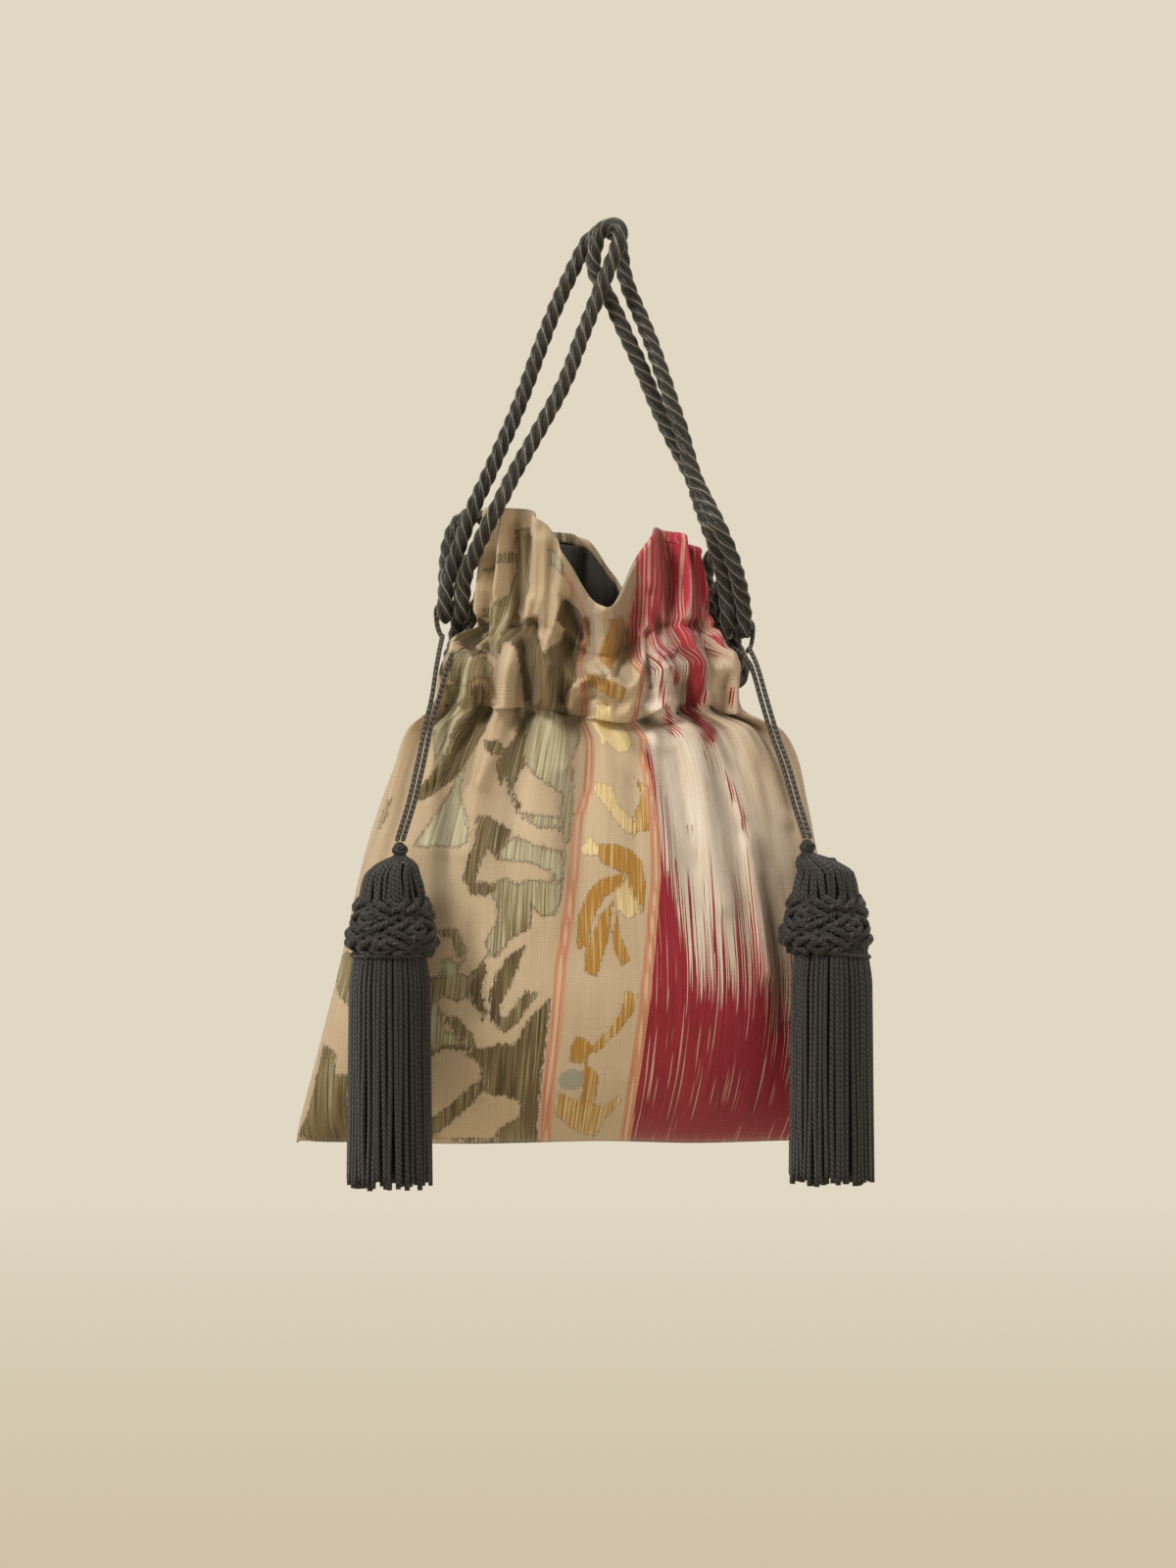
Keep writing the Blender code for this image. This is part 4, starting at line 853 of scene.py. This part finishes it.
# the handles run from slit to slit over the hang point, and the ropes go on inside the channel
# their places are in tenths of a millimetre
rope = {"diameter": 0.0064, "strands": 4, "offset": 0.00172, "strandRadius": 0.00146, "pitch": -0.0250,
        "gap": 0.0009, "sides": 9, "highlightRadius": 0.00026, "inset": 0.0074, "endInset": 0.0014}
frontHandle = (
    (-598, -46, -1752), (-626, 4, -1712), (-624, 62, -1650), (-612, 100, -1560), (-604, 108, -1450), (-598, 108,
    -1380), (-590, 92, -1335), (-583, 56, -1326), (-582, 28, -1362), (-588, 21, -1430), (-593, 21, -1510),
    (-593, 8, -1543), (-593, -25, -1556), (-592, -58, -1543), (-591, -71, -1510), (-581, -94, -1410), (-538,
    -154, -1310), (-484, -204, -1200), (-430, -204, -1096), (-384, -180, -1000), (-278, -140, -808), (-176,
    -118, -616), (-104, -100, -424), (-64, -90, -320), (-32, -86, -240), (0, -86, -160), (30, -84, -84), (51,
    -76, -12), (38, -58, 28), (6, -36, 35), (-30, -18, 10), (-52, -10, -60), (-58, -8, -125), (-36, -9, -190),
    (-4, -11, -240), (38, -13, -328), (82, -10, -424), (128, 4, -520), (168, 10, -616), (208, 12, -712), (252,
    6, -808), (300, -6, -904), (346, -30, -1000), (372, -78, -1096), (404, -148, -1196), (434, -156, -1280),
    (462, -126, -1370), (480, -90, -1470), (486, -71, -1575), (486, -58, -1608), (485, -25, -1621), (483, 8,
    -1608), (480, 21, -1575), (462, 23, -1500), (456, 40, -1440), (466, 82, -1420), (486, 112, -1468), (506,
    112, -1570), (520, 92, -1670), (528, 38, -1738), (500, -40, -1778),
)
backHandle = (
    (-584, 66, -1786), (-628, 72, -1768), (-645, 108, -1722), (-622, 158, -1655), (-560, 205, -1540), (-500,
    234, -1400), (-474, 226, -1240), (-496, 180, -1158), (-550, 110, -1132), (-612, 50, -1172), (-648, 24,
    -1260), (-660, 21, -1380), (-662, 21, -1510), (-662, 8, -1543), (-662, -25, -1556), (-662, -58, -1543),
    (-662, -71, -1510), (-652, -80, -1420), (-612, -82, -1300), (-538, -72, -1100), (-492, -52, -1000), (-450,
    -36, -904), (-368, -8, -712), (-298, 12, -520), (-228, 34, -328), (-162, 52, -176), (-118, 62, -85), (-84,
    67, -22), (-48, 70, 14), (-6, 72, 30), (34, 73, 8), (54, 73, -48), (64, 70, -128), (86, 58, -210), (134, 34,
    -328), (172, 4, -424), (204, -26, -520), (236, -46, -616), (266, -60, -712), (298, -72, -808), (324, -86,
    -904), (352, -114, -1000), (394, -172, -1096), (448, -222, -1210), (496, -206, -1320), (526, -162, -1410),
    (546, -114, -1490), (556, -71, -1575), (556, -58, -1608), (555, -25, -1621), (553, 8, -1608), (550, 21,
    -1575), (538, 21, -1480), (522, 24, -1380), (496, 50, -1308), (450, 110, -1290), (414, 176, -1340), (418,
    222, -1450), (462, 206, -1580), (526, 168, -1680), (556, 122, -1752), (538, 94, -1812), (480, 52, -1822),
)


def casingRoute(front):
    way = np.array([0.80 - 0.60 * i / 9 for i in range(10)])
    inset = rope["inset"] + rope["endInset"] * np.abs(2 * way - 1)
    return [Vector(p) for p in clothPoint(np.full(way.shape, 1.5), way, front, inset, False)]


for name, handle, front in (("front", frontHandle, True), ("back", backHandle, False)):
    casing = casingRoute(front)
    handle = [[n / 10000 for n in place] for place in handle]
    loop = splineThrough([casing[-1], *handle, *casing[:-1]], 12, True)
    split = (len(handle) + 1) * 12
    for kind, route in (("Handle", loop[:split + 1]), ("Casing", [*loop[split:], loop[0]])):
        verts, faces, uvs, fields = twisted(route, rope["strands"], rope["offset"], rope["strandRadius"],
                                            rope["pitch"], rope["sides"], rope["gap"], rope["highlightRadius"])
        piece = makePiece(name + kind + "Rope", verts, faces, uvs, ropeSatin, "pouch", fields)
        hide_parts(f"{name}_{kind.lower()}_rope")
        points, at = evenPoints(route, 0.004)
    print("rope", name)


# tassels
tassel = {
    "cordDiameter": 0.0020, "bend": 0.0046, "loopDrop": 0.0060,
    "braidWidth": 0.00060, "braidDepth": 0.00036, "braidStrand": 0.00046, "braidPitch": 0.0046,
    "headLength": 0.017, "headRadius": 0.0126, "headThreads": 58,
    "collarHeight": 0.020, "collarRadius": 0.0160, "collarCords": 7, "collarTurn": 2.50, "collarCord": 0.00150,
    "skirtLength": 0.092, "skirtRadius": 0.0151, "skirtStrands": 46, "strandRadius": 0.00104, "innerStrands": 34,
}
hangs = {
    "left": {"bends": (-0.0662, -0.0593), "pivot": (-0.0025, -0.1510), "sides": (0.0036, 0.0046),
             "route": ((-0.0640, -0.0125, -0.1645, 0.0030), (-0.0650, -0.0195, -0.1700, 0.0028),
                       (-0.0668, -0.0245, -0.1780, 0.0022), (-0.0690, -0.0270, -0.1890, 0.0015),
                       (-0.0718, -0.0290, -0.2000, 0.0012), (-0.0748, -0.0350, -0.2160, 0.0012),
                       (-0.0782, -0.0425, -0.2320, 0.0012))},
    "right": {"bends": (0.0487, 0.0556), "pivot": (-0.0025, -0.1575), "sides": (0.0042, 0.0036),
              "route": ((0.0544, -0.0066, -0.1690, 0.0030), (0.0584, -0.0122, -0.1745, 0.0014),
                        (0.0602, -0.0165, -0.1800, 0.0012), (0.0628, -0.0200, -0.1900, 0.0012),
                        (0.0668, -0.0240, -0.2040, 0.0012), (0.0714, -0.0310, -0.2180, 0.0012),
                        (0.0754, -0.0370, -0.2330, 0.0012))},
}


# from the knot up one leg, over both rope bends and down the other leg
def tasselCordRoute(hang, knot):
    y, z = hang["pivot"]
    bottom = z - tassel["bend"] - tassel["loopDrop"]
    legs = []
    for sign, bend, side in zip((-1, 1), hang["bends"], hang["sides"]):
        edge = bend + sign * side
        under = 0.30 if side < 0.004 else 0.0  # a close leg drops straight, a wide one swings in under the rope
        leg = [(bend + sign * side * 0.82, y, z - tassel["cordDiameter"] * 0.35), (edge, y, z - tassel["bend"] * 0.5),
               (edge, y, z - tassel["bend"] * 1.1),
               (bend + sign * side * (0.50 + under), y - 0.0001, bottom + tassel["loopDrop"] * 0.14),
               (bend + sign * side * under * 1.5, y - 0.0008, bottom - tassel["cordDiameter"])]
        leg += [(x + sign * half, forward, down) for x, forward, down, half in hang["route"]]
        leg.append((knot.x + sign * 0.00115, knot.y, knot.z + 0.0037))
        legs.append(leg)
    inner = 0.0017
    return [*legs[0][::-1], (hang["bends"][0] - inner, y, z), (hang["bends"][1] + inner, y, z), *legs[1]]


def ringAt(centre, radius, tiltAxis, tilt, count=40):
    turn = np.linspace(0, math.tau, count)
    points = np.stack([radius * np.cos(turn), radius * np.sin(turn), 0 * turn], axis=-1)
    return points @ np.array(Matrix.Rotation(tilt, 3, Vector(tiltAxis))).T + np.array(centre)


def tasselPiece(name, kind, parts, material):
    verts, faces, uvs, fields = parts
    piece = makePiece(f"{name}Tassel{kind}", verts, faces, uvs, material, f"tassel_{name}", fields)
    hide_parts(f"tassel_{kind.lower()}_{name}")


# solid filling under the head and collar threads
def coreShape(name, rings, centre, material, body):
    bpy.ops.object.select_all(action="DESELECT")
    bpy.ops.mesh.primitive_uv_sphere_add(segments=32, ring_count=len(rings) + 1, radius=1, location=(0, 0, 0))
    piece = bpy.context.object
    piece.name = piece.data.name = name
    mesh = piece.data
    data = np.array([v.co[:] for v in mesh.vertices])
    levels = sorted({round(float(z), 5) for z in data[:, 2]}, reverse=True)
    for vertex in mesh.vertices:
        row = min(range(len(levels)), key=lambda i: abs(levels[i] - vertex.co.z))
        flat = math.hypot(vertex.co.x, vertex.co.y)
        radius, height = rings[min(max(row - 1, 0), len(rings) - 1)]
        scale = radius / flat if flat > 1e-4 else 0.0
        vertex.co = (centre[0] + vertex.co.x * scale, centre[1] + vertex.co.y * scale, centre[2] + height)
    mesh.materials.clear()
    mesh.materials.append(material)
    mesh.shade_smooth()
    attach(piece, body)
    return piece


for name, hang in hangs.items():
    body = f"tassel_{name}"
    low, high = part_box(f"tassel_knot_{name}")
    knot = Vector([(a + b) / 2 for a, b in zip(low, high)])
    low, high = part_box(f"tassel_skirt_{name}")
    axis = Vector(((low[0] + high[0]) / 2, (low[1] + high[1]) / 2, 0))
    rng = random.Random(17 if name == "left" else 29)

    route = splineThrough(tasselCordRoute(hang, knot), 14)
    verts, faces, uvs, fields = braided(route, tassel["braidWidth"], tassel["braidDepth"], tassel["braidStrand"],
                                        tassel["braidPitch"], 6, 0.0004)
    cordPiece = makePiece(f"{name}TasselCord", verts, faces, uvs, thinBraid, body, fields)
    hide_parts(f"tassel_cord_{name}")
    points, at = evenPoints(route, 0.002)

    turns = (((1, 0, 0), 0.5), ((1, 0.4, 0), -0.5), ((0.3, 1, 0), 1.2), ((1, 1, 0), 1.4))
    parts = [tube(ringAt(knot, 0.0021, tiltAxis, tilt), 0.00118, 8) for tiltAxis, tilt in turns]
    tasselPiece(name, "Knot", gather(parts), knotted)

    top = knot.z - 0.0034
    collarTop = top - tassel["headLength"]
    collarFoot = collarTop - tassel["collarHeight"]
    lean = (knot.x - axis.x) * 0.5
    headX = axis.x + lean * 0.5

    # satin threads run over the dome from the knot to the collar
    profile = np.array([(0.12, 0.06), (0.20, -0.02), (0.42, -0.10), (0.64, -0.22), (0.82, -0.42), (0.93, -0.68),
                        (1.0, -1.0), (0.98, -1.2)])
    t = np.linspace(0, len(profile) - 1, 18)
    radii = np.interp(t, range(len(profile)), profile[:, 0]) * tassel["headRadius"]
    drops = np.interp(t, range(len(profile)), profile[:, 1]) * tassel["headLength"]
    parts = []
    for k in range(tassel["headThreads"]):
        turn = math.tau * (k + rng.uniform(-0.25, 0.25)) / tassel["headThreads"]
        wander = turn + rng.uniform(-0.30, 0.30) * np.sin(t * 0.35 + k)
        centreX = knot.x + (headX - knot.x) * np.clip(-drops * 2.4 / tassel["headLength"], 0, 1)
        places = [centreX + radii * np.cos(wander), axis.y + radii * np.sin(wander), top + drops + 0.0008]
        thick = 0.00038 + 0.00050 * radii / tassel["headRadius"] + rng.uniform(-0.0001, 0.0002)
        parts.append(tube(np.stack(places, axis=-1), thick, 6, shift=rng.uniform(0, 3)))
    tasselPiece(name, "Head", gather(parts), chainette)
    dome = ((0.36, -0.12), (0.60, -0.28), (0.84, -0.6), (0.9, -1.1))
    rings = [(tassel["headRadius"] * 0.3, -0.0008)]
    rings += [(a * tassel["headRadius"], b * tassel["headLength"]) for a, b in dome]
    rings += [(0.0126, -0.020), (0.0135, -0.030), (0.0118, -0.0385), (0.004, -0.0388)]
    core = coreShape(f"{name}TasselCore", rings, (headX, axis.y, top), chainette, body)

    # two crossing families of doubled cords make the knotted collar
    parts = []
    share = np.linspace(-0.04, 1.04, 34)
    swell = np.interp(share, (0, 0.3, 0.6, 0.82, 1.0), (0.80, 0.92, 1.02, 1.03, 0.88))
    cords = tassel["collarCords"]
    for family in (1, -1):
        for k in range(cords):
            turn = math.tau * k / cords + family * tassel["collarTurn"] * share
            over = family * np.sin(cords * tassel["collarTurn"] * share + (0 if k % 2 else math.pi))
            radius = tassel["collarRadius"] * swell + 0.00120 * over
            for beside in (-0.5, 0.5):
                shift = beside * 0.0066 / tassel["collarRadius"]
                points = np.stack([headX + radius * np.cos(turn + shift), axis.y + radius * np.sin(turn + shift),
                                   collarTop - tassel["collarHeight"] * share], axis=-1)
                parts.append(tube(points, tassel["collarCord"], 7, shift=rng.uniform(0, 1)))
    tasselPiece(name, "Collar", gather(parts), knotted)

    tilt = 0.0 if name == "left" else 0.14
    ringPoints = ringAt((axis.x, axis.y, collarFoot - 0.0010), 0.0149, (0, 1, 0), tilt, 90)
    binding = twisted([Vector(p) for p in ringPoints], 2, 0.00045, 0.00055, 0.004, 6, 0.0006)
    tasselPiece(name, "Binding", binding, thinBraid)

    # chainette skirt strands, a little uneven, with ragged ends
    parts = []
    skirtTop = collarFoot + 0.0012
    outer = (tassel["skirtStrands"], 1.0, tassel["strandRadius"])
    for count, ring, radius in (outer, (tassel["innerStrands"], 0.80, 0.0012), (14, 0.52, 0.0014), (5, 0.22, 0.0014)):
        for k in range(count):
            turn = math.tau * (k + rng.uniform(-0.18, 0.18)) / count
            long = tassel["skirtLength"] + 0.0010 + rng.uniform(-0.0030, 0.0012)
            s = np.linspace(0, 1, 26)
            spread = ring * (tassel["skirtRadius"] * (0.87 + 0.13 * np.clip(s * 7, 0, 1)) + 0.0010 * s)
            sway = 0.035 * np.sin(s * rng.uniform(2, 7) + rng.uniform(0, 6)) * s
            points = np.stack([axis.x + spread * np.cos(turn + sway), axis.y + spread * np.sin(turn + sway),
                               skirtTop - long * s], axis=-1)
            parts.append(tube(points, radius * rng.uniform(0.9, 1.06), 6, shift=rng.uniform(0, 3)))
    tasselPiece(name, "Skirt", gather(parts), chainette)
    print("tassel", name)


# the pouch
for side, front in (("front", True), ("back", False)):
    piece = makeCloth(f"{side}Panel", front, brocade, [f"{side}_panel"])
    print("cloth", side)


# the lining keeps inside the outer cloth, furthest where the ropes run between them
liner = {"columns": 150, "inset": 0.0020, "casingInset": 0.0082, "ruffleInset": 0.0011, "stitchInset": 0.0034,
         "middleGap": 0.0004, "flatWidth": 0.22, "thickness": 0.0004}


def makeLining(side, front):
    levels = np.concatenate([np.linspace(0.04, 1, 40), np.linspace(1.05, 2, 18), np.linspace(2.05, 2.92, 20)])
    way = np.linspace(0.015, 0.985, liner["columns"])
    way = way if front else way[::-1]
    rows, u = [], []
    for at in levels:
        share = max(0.0, 1 - abs(at - 1.5) / 0.5)
        margin = 0.02 + 0.15 * share
        ways = margin + (1 - 2 * margin) * way
        inward = liner["inset"] + liner["casingInset"] * share + liner["ruffleInset"] * min(1.0, max(0.0, at - 2) * 2)
        inward += liner["stitchInset"] * hill(at, 1.04, 0.13)
        row = clothPoint(np.full(ways.shape, at), ways, front, inward)
        middle = liner["middleGap"]
        row[:, 1] = np.minimum(row[:, 1], -middle) if front else np.maximum(row[:, 1], middle)
        rows.append(row)
        height = float(clothHeight(np.array(at))) / 1000
        u.append(np.stack([way * liner["flatWidth"], np.full(way.shape, height)], axis=-1))
    piece = makePiece(f"{side}Lining", np.array(rows).reshape(-1, 3), gridFaces(len(levels), len(way)),
                      np.array(u).reshape(-1, 2), lining, "pouch")
    thicken(piece, liner["thickness"])
    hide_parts(f"{side}_lining")


for side, front in (("front", True), ("back", False)):
    makeLining(side, front)
print("lining")

# floor, far below the hanging pouch
bpy.ops.object.select_all(action="DESELECT")
bpy.ops.mesh.primitive_plane_add(size=24, location=(0, 0, -0.72))
floor = bpy.context.object
floor.name = "floor"
# pale painted board, matt under the lamps; the eye and mirrors see it glow in the backdrop's colours instead, with
# painted shade darker towards the viewer like the backdrop's foot
paint, tree, shader = newMaterial("palePaintedFloor", 0.9, 0.2)
shader.inputs["Base Color"].default_value = toLinear("#DDD3BF")
place = addNode(tree, "ShaderNodeTexCoord").outputs["Object"]
depth = addNode(tree, "ShaderNodeSeparateXYZ", {}, Vector=place).outputs["Y"]
shade = mixColour(mapRange(depth, 0.6, 2.9), backdropColour["lower"], backdropColour["upper"])
glow = addNode(tree, "ShaderNodeEmission", {}, Color=shade)
both = addNode(tree, "ShaderNodeMixShader", {}, in0=seenDirectly(tree), in1=shader.outputs[0], in2=glow.outputs[0])
tree.links.new(both.outputs[0], tree.nodes["Material Output"].inputs["Surface"])
floor.data.materials.append(paint)
